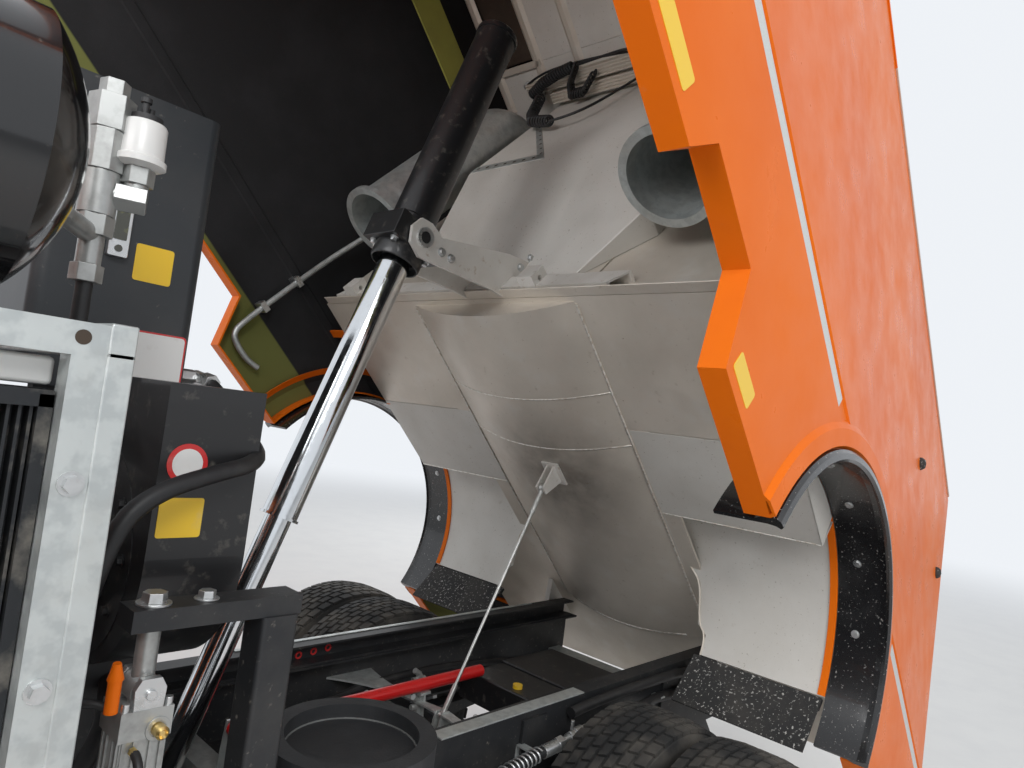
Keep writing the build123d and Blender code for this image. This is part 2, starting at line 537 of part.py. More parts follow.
# What is welded on the vessel: stiffener, ram bracket, hinge ears, rope lug, door hinges
HAT_H = 72.0
HAT_D = 45.0
HAT_Y0 = -980.0
HAT_Y1 = 640.0
LUG_Y = (-850.0, 240.0)
LUG_D = 85.0
LUG_BORE_R = 11.0
RAM_PLATE_Y = BARREL_R + 14.0
RAM_PLATE_T = 14.0
EYE_PLATE_R = 58.0
WALL_X = HOP_FRONT_X + TOUCH_GAP
LUG_PLATE_T = 8.0
ROPE_PIN_R = 9.0
DOOR_PIN_R = 10.0
TAIL_HINGE_Y = (-700.0, 700.0)
DOOR_PIN_X = HOP_REAR_X + 22.0
with BuildPart() as hopper_brackets:
    # Pressed top hat across the front wall, ends cut at a slant
    hat = [
        (HAT_Y0, FLOOR_Z + 8), (HAT_Y1 - 60, FLOOR_Z + 8), (HAT_Y1, FLOOR_Z + 8 + HAT_H),
        (HAT_Y0 + 60, FLOOR_Z + 8 + HAT_H),
    ]
    cross_shape(hat, WALL_X, WALL_X + HAT_D)
    inside = [
        (HAT_Y0 - 5, FLOOR_Z + 16), (HAT_Y1 + 5, FLOOR_Z + 16), (HAT_Y1 + 5, FLOOR_Z + HAT_H),
        (HAT_Y0 - 5, FLOOR_Z + HAT_H),
    ]
    cross_shape(inside, WALL_X - 1, WALL_X + HAT_D - 8, mode=Mode.SUBTRACT)
    for y in LUG_Y:
        block(WALL_X, WALL_X + LUG_D, y - 36, y + 36, FLOOR_Z + 4, FLOOR_Z + 84)
        rod((WALL_X + LUG_D - 30, y - 40, FLOOR_Z + 44), (WALL_X + LUG_D - 30, y + 40, FLOOR_Z + 44), LUG_BORE_R, mode=Mode.SUBTRACT)
    # Two tapered arms out to the eyes that hold the ram
    for name, side in SIDES:
        arm = [
            (WALL_X, FLOOR_Z + 230), (WALL_X, FLOOR_Z + 4), (WALL_X + 70, FLOOR_Z - 45),
            (TRUN_X - 40, TRUN_Z - EYE_PLATE_R), (TRUN_X + 20, TRUN_Z - EYE_PLATE_R),
            (TRUN_X + EYE_PLATE_R, TRUN_Z - 20), (TRUN_X + EYE_PLATE_R, TRUN_Z + 30),
            (TRUN_X + 20, TRUN_Z + EYE_PLATE_R), (TRUN_X - 40, TRUN_Z + EYE_PLATE_R + 10),
            (WALL_X + 120, FLOOR_Z + 120),
        ]
        side_shape(arm, side * RAM_PLATE_Y, side * (RAM_PLATE_Y + RAM_PLATE_T))
        block(WALL_X, WALL_X + 14, side * (RAM_PLATE_Y - 45), side * (RAM_PLATE_Y + 75), FLOOR_Z + 90, FLOOR_Z + 260)
    eye_reach = RAM_PLATE_Y + RAM_PLATE_T + 5
    rod((TRUN_X, -eye_reach, TRUN_Z), (TRUN_X, eye_reach, TRUN_Z), TRUN_R + RUN_GAP, mode=Mode.SUBTRACT)
    # Hinge ears outside the frame
    for name, side in SIDES:
        y0, y1 = side * HINGE_EAR_IN, side * (HINGE_EAR_IN + EAR_T)
        with BuildSketch(Plane.XZ.offset(-min(y0, y1))) as ear:
            with BuildLine():
                Polyline(
                    (HINGE_X - 55, HINGE_Z), (HINGE_X - 150, FLOOR_Z - TOUCH_GAP), (HINGE_X + 170, FLOOR_Z - TOUCH_GAP),
                    (HINGE_X + 55, HINGE_Z))
                ThreePointArc((HINGE_X + 55, HINGE_Z), (HINGE_X, HINGE_Z - 55), (HINGE_X - 55, HINGE_Z))
            make_face()
        extrude(ear.sketch, amount=-EAR_T)
        rod((HINGE_X, y0 - side * 5, HINGE_Z), (HINGE_X, y1 + side * 5, HINGE_Z), HINGE_PIN_R + RUN_GAP, mode=Mode.SUBTRACT)
    # Lug of the limit rope under the belly
    pad_z = BELLY_Z - TOUCH_GAP
    block(ROPE_LUG_X - 60, ROPE_LUG_X + 60, ROPE_Y - 45, ROPE_Y + 45, pad_z - 8, pad_z)
    for side in (-1, 1):
        lug = [
            (ROPE_LUG_X - 45, pad_z - 6), (ROPE_LUG_X - 18, ROPE_LUG_Z - 18), (ROPE_LUG_X + 18, ROPE_LUG_Z - 18),
            (ROPE_LUG_X + 45, pad_z - 6),
        ]
        y0 = ROPE_Y + side * (ROPE_R + 8)
        side_shape(lug, y0, y0 + side * LUG_PLATE_T)
    pin_reach = ROPE_R + 8 + LUG_PLATE_T
    rod((ROPE_LUG_X, ROPE_Y - pin_reach, ROPE_LUG_Z), (ROPE_LUG_X, ROPE_Y + pin_reach, ROPE_LUG_Z), ROPE_PIN_R)
    # Hinge pins of the rear door in their ears on the roof edge
    roof_z = HOP_TOP_Z + 6 + TOUCH_GAP
    for y in TAIL_HINGE_Y:
        rod((DOOR_PIN_X, y - 40, DOOR_HINGE_Z), (DOOR_PIN_X, y + 40, DOOR_HINGE_Z), DOOR_PIN_R)
        for side in (-1, 1):
            ear = [
                (HOP_REAR_X, roof_z), (HOP_REAR_X + 80, roof_z), (HOP_REAR_X + 42, DOOR_HINGE_Z + 18),
                (HOP_REAR_X + 5, DOOR_HINGE_Z + 18),
            ]
            side_shape(ear, y + side * 14, y + side * 26)
hand_over(hopper_brackets.part, "hopper_brackets", TIPPED)

# Side panels, one skin a side from the tail to the nose of the hood
PANEL_LOW_Z = 520.0
HOOD_LOW_Z = 620.0
NOTCH_Z = 735.0
FLARE_R = 676.0
PANEL_FLANGE = 70.0


PANEL_TOP_Z = HOP_TOP_Z - 4 - TOUCH_GAP


def panel_inner_y(z):
    lean = (HALF_WIDTH - PANEL_TOP_Y) / (PANEL_TOP_Z - CREASE_Z)
    return HALF_WIDTH - PANEL_T - lean * (z - CREASE_Z)


PANEL_EDGE = [
    (PANEL_REAR_X, HOOD_LOW_Z), (-500, HOOD_LOW_Z), (-500, PANEL_LOW_Z), (1142, PANEL_LOW_Z),
    (1262, NOTCH_Z), (1560, NOTCH_Z), (1605, HOOD_LOW_Z), (HOOD_FRONT_X, HOOD_LOW_Z),
    (HOOD_FRONT_X, PANEL_TOP_Z), (PANEL_REAR_X, PANEL_TOP_Z),
]
BROW_R = 800.0
BROW_OUT = 16.0


def panel_section(side, depth):
    # Skin seen from the front, this deep from its outer face, with the recess of the stripe
    low = CREASE_Z - STRIPE_H
    outer = [
        (HALF_WIDTH, PANEL_LOW_Z), (HALF_WIDTH, low - STRIPE_DEPTH), (HALF_WIDTH - STRIPE_DEPTH, low),
        (HALF_WIDTH - STRIPE_DEPTH, CREASE_Z - STRIPE_DEPTH), (HALF_WIDTH, CREASE_Z), (PANEL_TOP_Y, PANEL_TOP_Z),
    ]
    inner = [(y - depth, z) for y, z in reversed(outer)]
    return [(side * y, z) for y, z in outer + inner]


def panel_outline(y0, y1, lip=0.0):
    # Side view of the skin with its arch, or only a band of this width along its edge
    with BuildSketch(Plane.XZ.offset(-min(y0, y1))) as outline:
        with BuildLine():
            Polyline(*PANEL_EDGE, close=True)
        make_face()
        with Locations((0, AXLE_Z)):
            Circle(FLARE_R, mode=Mode.SUBTRACT)
        if lip:
            offset(amount=-lip, kind=Kind.INTERSECTION, mode=Mode.SUBTRACT)
    extrude(outline.sketch, amount=-abs(y1 - y0), mode=Mode.INTERSECT)


with BuildPart() as side_panels:
    for name, side in SIDES:
        y0, y1 = side * (PANEL_TOP_Y - PANEL_FLANGE - 5), side * (HALF_WIDTH + BROW_OUT + 5)
        with BuildPart(mode=Mode.PRIVATE) as skin:
            cross_shape(panel_section(side, PANEL_T), PANEL_REAR_X, HOOD_FRONT_X)
            panel_outline(y0, y1)
        with BuildPart(mode=Mode.PRIVATE) as lip:
            cross_shape(panel_section(side, PANEL_FLANGE), PANEL_REAR_X, HOOD_FRONT_X)
            panel_outline(y0, y1, PANEL_T)
        add(skin.part)
        add(lip.part)
        # Raised brow round the wheel arch
        brow = [
            (HALF_WIDTH - 2, FLARE_R), (HALF_WIDTH + BROW_OUT, FLARE_R + 10), (HALF_WIDTH + BROW_OUT - 4, FLARE_R + 62),
            (HALF_WIDTH - 38, BROW_R + 12), (HALF_WIDTH - 46, BROW_R + 12), (HALF_WIDTH + BROW_OUT - 12, FLARE_R + 56),
            (HALF_WIDTH + BROW_OUT - 8, FLARE_R + 16), (HALF_WIDTH - 8, FLARE_R + 8),
        ]
        with BuildPart(mode=Mode.PRIVATE) as brow_ring:
            turned([(side * y, radius) for y, radius in brow], 0, 0, AXLE_Z)
            block(-BROW_R - 20, -500, y0, y1, AXLE_Z - BROW_R - 20, HOOD_LOW_Z, mode=Mode.SUBTRACT)
            block(-501, BROW_R + 20, y0, y1, AXLE_Z - BROW_R - 20, PANEL_LOW_Z, mode=Mode.SUBTRACT)
        add(brow_ring.part)
        # Brackets from the vessel wall out to the panel
        for x in (-1300.0, -820.0, 820.0):
            block(x - 20, x + 20, side * (HOP_FLOOR_Y + TOUCH_GAP), side * (HALF_WIDTH - PANEL_T + 1), FLOOR_Z + 12, FLOOR_Z + 20)
hand_over(side_panels.part, "side_panels", TIPPED)

# Hood: roof, nose wall and the lining under them
HOOD_T = 8.0
with BuildPart() as hood:
    block(HOP_FRONT_X + TOUCH_GAP, HOOD_FRONT_X, -PANEL_TOP_Y - 6, PANEL_TOP_Y + 6, HOP_TOP_Z - 4, HOP_TOP_Z + 6)
    low_z = HOOD_LOW_Z + 500
    high_z = PANEL_TOP_Z - PANEL_T - TOUCH_GAP
    nose = [
        (-panel_inner_y(low_z) + TOUCH_GAP, low_z), (panel_inner_y(low_z) - TOUCH_GAP, low_z),
        (panel_inner_y(high_z) - TOUCH_GAP, high_z), (-panel_inner_y(high_z) + TOUCH_GAP, high_z),
    ]
    cross_shape(nose, HOOD_FRONT_X - 30, HOOD_FRONT_X - 22)
    block(HOOD_FRONT_X - 30, HOOD_FRONT_X - 22, -PANEL_TOP_Y + 70, PANEL_TOP_Y - 70, HOP_TOP_Z - 60, HOP_TOP_Z)
hand_over(hood.part, "hood", TIPPED)

with BuildPart() as hood_lining:
    block(HOP_FRONT_X + 20, HOOD_FRONT_X - 32, -PANEL_TOP_Y + 70, PANEL_TOP_Y - 70, HOP_TOP_Z - 34, HOP_TOP_Z - 4 - TOUCH_GAP)
hand_over(hood_lining.part, "hood_lining", TIPPED)

# Rubber flares from the vessel wall out past the brow, and flaps behind the wheels
FLARE_OUT_Y = HALF_WIDTH + 28.0
with BuildPart() as arch_flares:
    flare = [
        (HOP_FLOOR_Y + 2, FLARE_R - 24), (HOP_FLOOR_Y + 2, FLARE_R - 12), (HALF_WIDTH - 45, FLARE_R - 12),
        (HALF_WIDTH - 25, FLARE_R - TOUCH_GAP), (HALF_WIDTH + BROW_OUT, FLARE_R - TOUCH_GAP),
        (FLARE_OUT_Y - 3, FLARE_R - 10), (FLARE_OUT_Y, FLARE_R - 28), (FLARE_OUT_Y - 8, FLARE_R - 36),
        (HALF_WIDTH + 8, FLARE_R - 28), (HALF_WIDTH - 12, FLARE_R - 24),
    ]
    for name, side in SIDES:
        turned([(side * y, radius) for y, radius in flare], 0, 0, AXLE_Z)
    below = AXLE_Z - FLARE_R - 5
    block(-FLARE_R - 5, FLARE_R + 5, -FLARE_OUT_Y - 5, FLARE_OUT_Y + 5, below, PANEL_LOW_Z, mode=Mode.SUBTRACT)
    block(-FLARE_R - 5, 0, -FLARE_OUT_Y - 5, FLARE_OUT_Y + 5, below, HOOD_LOW_Z, mode=Mode.SUBTRACT)
hand_over(arch_flares.part, "arch_flares", TIPPED)

with BuildPart() as mudflaps:
    for name, side in SIDES:
        y0, y1 = side * (ARCH_IN_Y + 30), side * (HOP_FLOOR_Y - 10)
        block(-ARCH_END_X - 8, -ARCH_END_X, y0, y1, FLAP_LOW_Z, AXLE_Z + ARCH_CUT - TOUCH_GAP)
        block(-ARCH_END_X - 20, -ARCH_END_X - 6, y0, y1, AXLE_Z + ARCH_CUT - 45, AXLE_Z + ARCH_CUT - TOUCH_GAP)
hand_over(mudflaps.part, "mudflaps", TIPPED)

# Suction pipes: flange mouth below, riser up the front wall and bend into it


def riser(y, radius, low, mouth_x, mode=Mode.ADD):
    with BuildLine(Plane.XZ.offset(-y)) as path:
        Line((DUCT_X, low), (DUCT_X, DUCT_WALL_Z - DUCT_BEND_R))
        RadiusArc((DUCT_X, DUCT_WALL_Z - DUCT_BEND_R), (DUCT_X - DUCT_BEND_R, DUCT_WALL_Z), -DUCT_BEND_R)
        Line((DUCT_X - DUCT_BEND_R, DUCT_WALL_Z), (mouth_x, DUCT_WALL_Z))
    with BuildSketch(Plane(origin=(DUCT_X, y, low), z_dir=(0, 0, 1))) as mouth:
        Circle(radius)
    sweep(mouth.sketch, path=path.line, mode=mode)


with BuildPart() as suction_pipes:
    for name, side in SIDES:
        y = side * DUCT_Y
        riser(y, DUCT_R, DUCT_Z, HOP_FRONT_X + TOUCH_GAP)
        rod((DUCT_X, y, DUCT_Z), (DUCT_X, y, DUCT_Z + 25), DUCT_FLANGE_R)
        rod((HOP_FRONT_X + TOUCH_GAP, y, DUCT_WALL_Z), (HOP_FRONT_X + 16, y, DUCT_WALL_Z), DUCT_FLANGE_R)
        riser(y, DUCT_R - DUCT_T, DUCT_Z - 1, HOP_FRONT_X - 1, mode=Mode.SUBTRACT)
hand_over(suction_pipes.part, "suction_pipes", TIPPED)

# Rear door, hung from the roof edge
with BuildPart() as rear_door:
    outline = [
        (-HOP_FLOOR_Y + 20, FLOOR_Z), (HOP_FLOOR_Y - 20, FLOOR_Z), (HOP_FLOOR_Y - 20, FLOOR_Z + 60),
        (HOP_TOP_Y - 10, HOP_TOP_Z - 50), (-HOP_TOP_Y + 10, HOP_TOP_Z - 50), (-HOP_FLOOR_Y + 20, FLOOR_Z + 60),
    ]
    cross_shape(outline, HOP_REAR_X - 1.0, HOP_REAR_X - 13)
    for z in (FLOOR_Z + 60, FLOOR_Z + 620, FLOOR_Z + 1180):
        block(HOP_REAR_X - 12, HOP_REAR_X - 40, -850, 850, z, z + 70)
    for y in TAIL_HINGE_Y:
        arm = [
            (HOP_REAR_X - 12, HOP_TOP_Z - 420), (HOP_REAR_X - 50, HOP_TOP_Z - 420), (HOP_REAR_X - 50, DOOR_HINGE_Z),
            (HOP_REAR_X - 12, DOOR_HINGE_Z + 25), (HOP_REAR_X + 30, DOOR_HINGE_Z + 25),
            (HOP_REAR_X + 45, DOOR_HINGE_Z), (HOP_REAR_X + 30, DOOR_HINGE_Z - 22), (HOP_REAR_X - 12, DOOR_HINGE_Z - 22),
        ]
        side_shape(arm, y - 12, y + 12)
        rod((DOOR_PIN_X, y - 20, DOOR_HINGE_Z), (DOOR_PIN_X, y + 20, DOOR_HINGE_Z), DOOR_PIN_R + RUN_GAP, mode=Mode.SUBTRACT)
hand_over(rear_door.part, "rear_door", TIPPED)


def tip_point(x, z):
    dx, dz = x - HINGE_X, z - HINGE_Z
    return HINGE_X + dx * cos(TIP) - dz * sin(TIP), HINGE_Z + dx * sin(TIP) + dz * cos(TIP)


# Tipping ram, drawn run out as the tipped hopper holds it
head_x, head_z = tip_point(TRUN_X, TRUN_Z)
RAM_LEN = hypot(head_x - RAM_FOOT_X, head_z - RAM_FOOT_Z)
ram_dx = (RAM_FOOT_X - head_x) / RAM_LEN
ram_dz = (RAM_FOOT_Z - head_z) / RAM_LEN
RAM_CLOSED = hypot(TRUN_X - RAM_FOOT_X, TRUN_Z - RAM_FOOT_Z)
STAGE2_STROKE = RAM_LEN - RAM_CLOSED - STAGE1_STROKE
COLLAR = 10.0


def along(distance, y=0.0):
    # A point on the ram's line, this far below the trunnion
    return (head_x + ram_dx * distance, y, head_z + ram_dz * distance)


with BuildPart() as cylinder_barrel:
    rod(along(-BARREL_ABOVE), along(BARREL_BELOW), BARREL_R)
    rod(along(BARREL_BELOW - 40), along(BARREL_BELOW), BARREL_R + 6)
    rod(along(-BARREL_ABOVE - 14), along(-BARREL_ABOVE + 2), BARREL_R - 18)
    rod(along(-50), along(50), BARREL_R + 9)
    rod(along(0, -BARREL_R - 34), along(0, BARREL_R + 34), TRUN_R)
    rod(along(-BARREL_ABOVE + 20), along(BARREL_BELOW + 1), STAGE1_R + 8, mode=Mode.SUBTRACT)
    rod(along(BARREL_BELOW - 40), along(BARREL_BELOW - 2), STAGE1_R + RUN_GAP, mode=Mode.ADD)
    rod(along(BARREL_BELOW - 41), along(BARREL_BELOW + 1), STAGE1_R + RUN_GAP, mode=Mode.SUBTRACT)
hand_over(cylinder_barrel.part, "cylinder_barrel")

with BuildPart() as cylinder_stage_1:
    closed_top = -BARREL_ABOVE + 30
    bottom = BARREL_BELOW + COLLAR + STAGE1_STROKE
    rod(along(closed_top + STAGE1_STROKE), along(bottom), STAGE1_R)
    rod(along(closed_top + STAGE1_STROKE), along(closed_top + STAGE1_STROKE + 30), STAGE1_R + 7.5)
    rod(along(bottom - COLLAR + 2), along(bottom), STAGE1_R + 6)
    rod(along(closed_top + STAGE1_STROKE + 12), along(bottom + 1), STAGE2_R + 6, mode=Mode.SUBTRACT)
    rod(along(bottom - 25), along(bottom), STAGE2_R + 8)
    rod(along(bottom - 26), along(bottom + 1), STAGE2_R + RUN_GAP, mode=Mode.SUBTRACT)
hand_over(cylinder_stage_1.part, "cylinder_stage_1")

with BuildPart() as cylinder_stage_2:
    top2 = closed_top + 30 + STAGE1_STROKE + STAGE2_STROKE
    rod(along(top2), along(RAM_LEN - FOOT_EYE_R + 4), STAGE2_R)
    rod(along(top2), along(top2 + 20), STAGE2_R + 5.5)
    rod(along(RAM_LEN, -STAGE2_R + 4), along(RAM_LEN, STAGE2_R - 4), FOOT_EYE_R)
hand_over(cylinder_stage_2.part, "cylinder_stage_2")

# Taut limit rope with a swaged eye at each end
lug_x, lug_z = tip_point(ROPE_LUG_X, ROPE_LUG_Z)
ROPE_LEN = hypot(lug_x - ROPE_FOOT_X, lug_z - ROPE_FOOT_Z)
rope_dx = (ROPE_FOOT_X - lug_x) / ROPE_LEN
rope_dz = (ROPE_FOOT_Z - lug_z) / ROPE_LEN


def on_rope(distance, dy=0.0):
    return (lug_x + rope_dx * distance, ROPE_Y + dy, lug_z + rope_dz * distance)


with BuildPart() as limit_rope:
    rod(on_rope(0, -8), on_rope(0, 8), 19)
    rod(on_rope(12), on_rope(120), ROPE_R + 4)
    rod(on_rope(110), on_rope(ROPE_LEN - 110), ROPE_R)
    rod(on_rope(ROPE_LEN - 120), on_rope(ROPE_LEN - 12), ROPE_R + 4)
    rod(on_rope(ROPE_LEN, -8), on_rope(ROPE_LEN, 8), 16)
    rod(on_rope(0, -22), on_rope(0, 22), ROPE_PIN_R + RUN_GAP, mode=Mode.SUBTRACT)
hand_over(limit_rope.part, "limit_rope")

with BuildPart() as safety_prop:
    rod((PROP_FRONT_X - 30, PROP_Y, PROP_Z), (PROP_REAR_X, PROP_Y, PROP_Z), PROP_R)
    rod((PROP_FRONT_X, PROP_Y - 22, PROP_Z), (PROP_FRONT_X, PROP_Y + 22, PROP_Z), 26)
    rod((PROP_FRONT_X, PROP_Y - 30, PROP_Z), (PROP_FRONT_X, PROP_Y + 30, PROP_Z), PROP_PIN_R + RUN_GAP, mode=Mode.SUBTRACT)
hand_over(safety_prop.part, "safety_prop")

# Module that stays on the frame under the hood
DECK_Z = SUB_TOP
FAN_FRONT_X = 1720.0
FAN_W = 180.0
FAN_Y = 430.0
FAN_Z = 1640.0
SCROLL_R = 195.0
SCROLL_STEP = 22.0
FAN_MOUTH_H = 330.0


def scroll(radius, mode=Mode.ADD):
    # Fan casing as a volute: quarter arcs about the corners of a small square, then the mouth
    e = SCROLL_STEP
    with BuildSketch(Plane.YZ.offset(FAN_FRONT_X - FAN_W)) as profile:
        with BuildLine():
            CenterArc((FAN_Y, FAN_Z), radius, 90, 90)
            CenterArc((FAN_Y + e, FAN_Z), radius + e, 180, 90)
            CenterArc((FAN_Y + e, FAN_Z + e), radius + 2 * e, 270, 90)
            Polyline(
                (FAN_Y + radius + 3 * e, FAN_Z + e), (FAN_Y + radius + 3 * e, FAN_Z + FAN_MOUTH_H),
                (FAN_Y, FAN_Z + FAN_MOUTH_H), (FAN_Y, FAN_Z + radius))
        make_face()
    extrude(profile.sketch, amount=FAN_W, mode=mode)


with BuildPart() as aux_engine:
    # Block, sump, head and belt end of the engine, on four feet
    block(1960, 2640, -300, 300, DECK_Z + 130, DECK_Z + 640)
    block(2000, 2600, -200, 200, DECK_Z + 60, DECK_Z + 132)
    block(2020, 2580, -180, 180, DECK_Z + 638, DECK_Z + 760)
    for x in (2040.0, 2570.0):
        for side in (-1, 1):
            block(x - 45, x + 45, side * 290, side * 440, DECK_Z + 130, DECK_Z + 150)
            block(x - 45, x + 45, side * 400, side * 440, DECK_Z + TOUCH_GAP, DECK_Z + 132)
    # Casing, its front inlet ring, the drive shaft and a foot
    scroll(SCROLL_R)
    rod((FAN_FRONT_X - 5, FAN_Y, FAN_Z), (FAN_FRONT_X + 25, FAN_Y, FAN_Z), 120)
    rod((FAN_FRONT_X - 10, FAN_Y, FAN_Z), (1970, 200, DECK_Z + 460), 60)
    block(FAN_FRONT_X - 120, FAN_FRONT_X - 20, FAN_Y - 45, FAN_Y + 5, DECK_Z + TOUCH_GAP, FAN_Z - 180)
hand_over(aux_engine.part, "aux_engine")

ZINC_X = 1930.0
ZINC_Y = 1020.0
ZINC_TOP = 2030.0
with BuildPart() as aux_frame:
    for side in (-1, 1):
        for x in (ZINC_X, 2700.0):
            block(x, x + 40, side * (ZINC_Y - 40), side * ZINC_Y, DECK_Z + 10, ZINC_TOP)
        block(ZINC_X, 2740, side * (ZINC_Y - 40), side * ZINC_Y, ZINC_TOP - 40, ZINC_TOP)
        block(ZINC_X, 2740, side * (ZINC_Y - 40), side * ZINC_Y, DECK_Z + TOUCH_GAP, DECK_Z + 50)
    for x in (ZINC_X, 2700.0):
        block(x, x + 40, -ZINC_Y, ZINC_Y, DECK_Z + TOUCH_GAP, DECK_Z + 50)
        block(x, x + 40, -ZINC_Y, ZINC_Y, ZINC_TOP - 40, ZINC_TOP)
hand_over(aux_frame.part, "aux_frame")

DRUM_Y = 860.0
DRUM_Z = 2240.0
DRUM_R = 180.0
DRUM_REAR_X = 1950.0
DRUM_FRONT_X = 2700.0
DISH = 75.0
DISH_R = (DRUM_R ** 2 + DISH ** 2) / (2 * DISH)
with BuildPart() as air_receiver:
    section = Plane(origin=(0, DRUM_Y, DRUM_Z), x_dir=(1, 0, 0), z_dir=(0, -1, 0))
    with BuildSketch(section) as profile:
        with BuildLine():
            Line((DRUM_REAR_X, 0), (DRUM_FRONT_X, 0))
            RadiusArc((DRUM_FRONT_X, 0), (DRUM_FRONT_X - DISH, DRUM_R), -DISH_R)
            Line((DRUM_FRONT_X - DISH, DRUM_R), (DRUM_REAR_X + DISH, DRUM_R))
            RadiusArc((DRUM_REAR_X + DISH, DRUM_R), (DRUM_REAR_X, 0), -DISH_R)
        make_face()
    revolve(profile.sketch, axis=Axis((0, DRUM_Y, DRUM_Z), (1, 0, 0)))
    for x in (2130.0, 2520.0):
        block(x - 20, x + 20, DRUM_Y - 60, ZINC_Y - 4, ZINC_TOP + TOUCH_GAP, ZINC_TOP + 12)
        block(x - 20, x + 20, DRUM_Y - 60, DRUM_Y + 60, ZINC_TOP + 2, DRUM_Z - DRUM_R + 60)
hand_over(air_receiver.part, "air_receiver")

TANK_X = 1505.0
TANK_LEN = 340.0
TANK_Y0 = -360.0
TANK_Y1 = 240.0
TANK_Z0 = 1930.0
TANK_TOP = 2600.0
TANK_CORNER_R = 28.0
with BuildPart() as hydraulic_tank:
    block(TANK_X, TANK_X + TANK_LEN, TANK_Y0, TANK_Y1, TANK_Z0, TANK_TOP)
    fillet(hydraulic_tank.edges().filter_by(Axis.Z), TANK_CORNER_R)
    for y in (TANK_Y0 + 30, TANK_Y1 - 70):
        block(TANK_X + 260, TANK_X + 300, y, y + 40, DECK_Z + 70, TANK_Z0 + 10)
    block(TANK_X + 250, TANK_X + 310, -RAIL_Y + 4, RAIL_Y - 4, DECK_Z + TOUCH_GAP, DECK_Z + 72)
hand_over(hydraulic_tank.part, "hydraulic_tank")

POST_X = 1530.0
POST_Y = 800.0
POST_W = 70.0
POST_TOP = 1620.0
ARM_REACH = 250.0
ARM_T = 34.0
CYL_X = POST_X + 210.0
CYL_TOP = POST_TOP - 150.0
CYL_W = 78.0
with BuildPart() as lift_post:
    h = POST_W / 2
    block(POST_X - h, POST_X + h, POST_Y - h, POST_Y + h, DECK_Z + 55, POST_TOP - ARM_T)
    fillet(lift_post.edges().filter_by(Axis.Z), 9)
    block(POST_X - h, POST_X + h, RAIL_Y - 60, POST_Y + h, DECK_Z + TOUCH_GAP, DECK_Z + 60)
    block(POST_X - h - 4, POST_X + ARM_REACH, POST_Y - h + 4, POST_Y + h - 4, POST_TOP - ARM_T, POST_TOP)
hand_over(lift_post.part, "lift_post")

# Air cylinder that hangs from the arm: end caps, square body and the eye above it
with BuildPart() as lift_cylinder:
    rod((CYL_X, POST_Y, CYL_TOP - 5), (CYL_X, POST_Y, POST_TOP - ARM_T - TOUCH_GAP), 17)
    rod((CYL_X, POST_Y - 22, CYL_TOP + 22), (CYL_X, POST_Y + 22, CYL_TOP + 22), 24)
    w = CYL_W / 2
    block(CYL_X - w, CYL_X + w, POST_Y - w, POST_Y + w, CYL_TOP - 45, CYL_TOP)
    block(CYL_X - w + 6, CYL_X + w - 6, POST_Y - w + 6, POST_Y + w - 6, CYL_TOP - 300, CYL_TOP - 44)
    block(CYL_X - w, CYL_X + w, POST_Y - w, POST_Y + w, CYL_TOP - 340, CYL_TOP - 299)
    rod((CYL_X, POST_Y, DECK_Z + 55), (CYL_X, POST_Y, CYL_TOP - 339), 11)
    block(CYL_X - 36, CYL_X + 12, RAIL_Y - 50, POST_Y + 50, DECK_Z + TOUCH_GAP, DECK_Z + 58)
hand_over(lift_cylinder.part, "lift_cylinder")

# Rubber collars and pipes down to the suction mouths
MOUTH_Z = 110.0
with BuildPart() as suction_hoses:
    for name, side in SIDES:
        y = side * DUCT_Y
        rod((DUCT_X, y, DUCT_Z - 60), (DUCT_X, y, DUCT_Z - 1), DUCT_FLANGE_R)
        rod((DUCT_X, y, 330), (DUCT_X, y, DUCT_Z - 55), DUCT_R)
        block(DUCT_X - 60, DUCT_X + 60, side * (RAIL_Y + 12), side * (DUCT_Y - DUCT_R + 20), RAIL_TOP - 60, RAIL_TOP - 20)
        rod((DUCT_X, y, 329), (DUCT_X, y, DUCT_Z + 1), DUCT_R - 12, mode=Mode.SUBTRACT)
        block(DUCT_X - 60, DUCT_X + 60, side * (RAIL_Y + TOUCH_GAP), side * (RAIL_Y + 14), RAIL_TOP - 70, RAIL_TOP - 10)
hand_over(suction_hoses.part, "suction_hoses")

with BuildPart() as suction_mouths:
    for name, side in SIDES:
        y0, y1 = side * 500, side * 1130
        hoodlet = [
            (DUCT_X - 300, MOUTH_Z), (DUCT_X + 320, MOUTH_Z), (DUCT_X + 320, MOUTH_Z + 80),
            (DUCT_X + 180, 328), (DUCT_X - 180, 328), (DUCT_X - 300, MOUTH_Z + 90),
        ]
        side_shape(hoodlet, y0, y1)
        inner = [
            (DUCT_X - 288, MOUTH_Z - 1), (DUCT_X + 308, MOUTH_Z - 1), (DUCT_X + 308, MOUTH_Z + 74),
            (DUCT_X + 174, 316), (DUCT_X - 174, 316), (DUCT_X - 288, MOUTH_Z + 84),
        ]
        side_shape(inner, side * 512, side * 1118, mode=Mode.SUBTRACT)
        rod((DUCT_X, side * DUCT_Y, 300), (DUCT_X, side * DUCT_Y, 330), DUCT_R - 12, mode=Mode.SUBTRACT)
        rod((DUCT_X, side * DUCT_Y, 326), (DUCT_X, side * DUCT_Y, 329.7), DUCT_R)
        rod((DUCT_X, side * DUCT_Y, 300), (DUCT_X, side * DUCT_Y, 331), DUCT_R - 12, mode=Mode.SUBTRACT)
hand_over(suction_mouths.part, "suction_mouths")

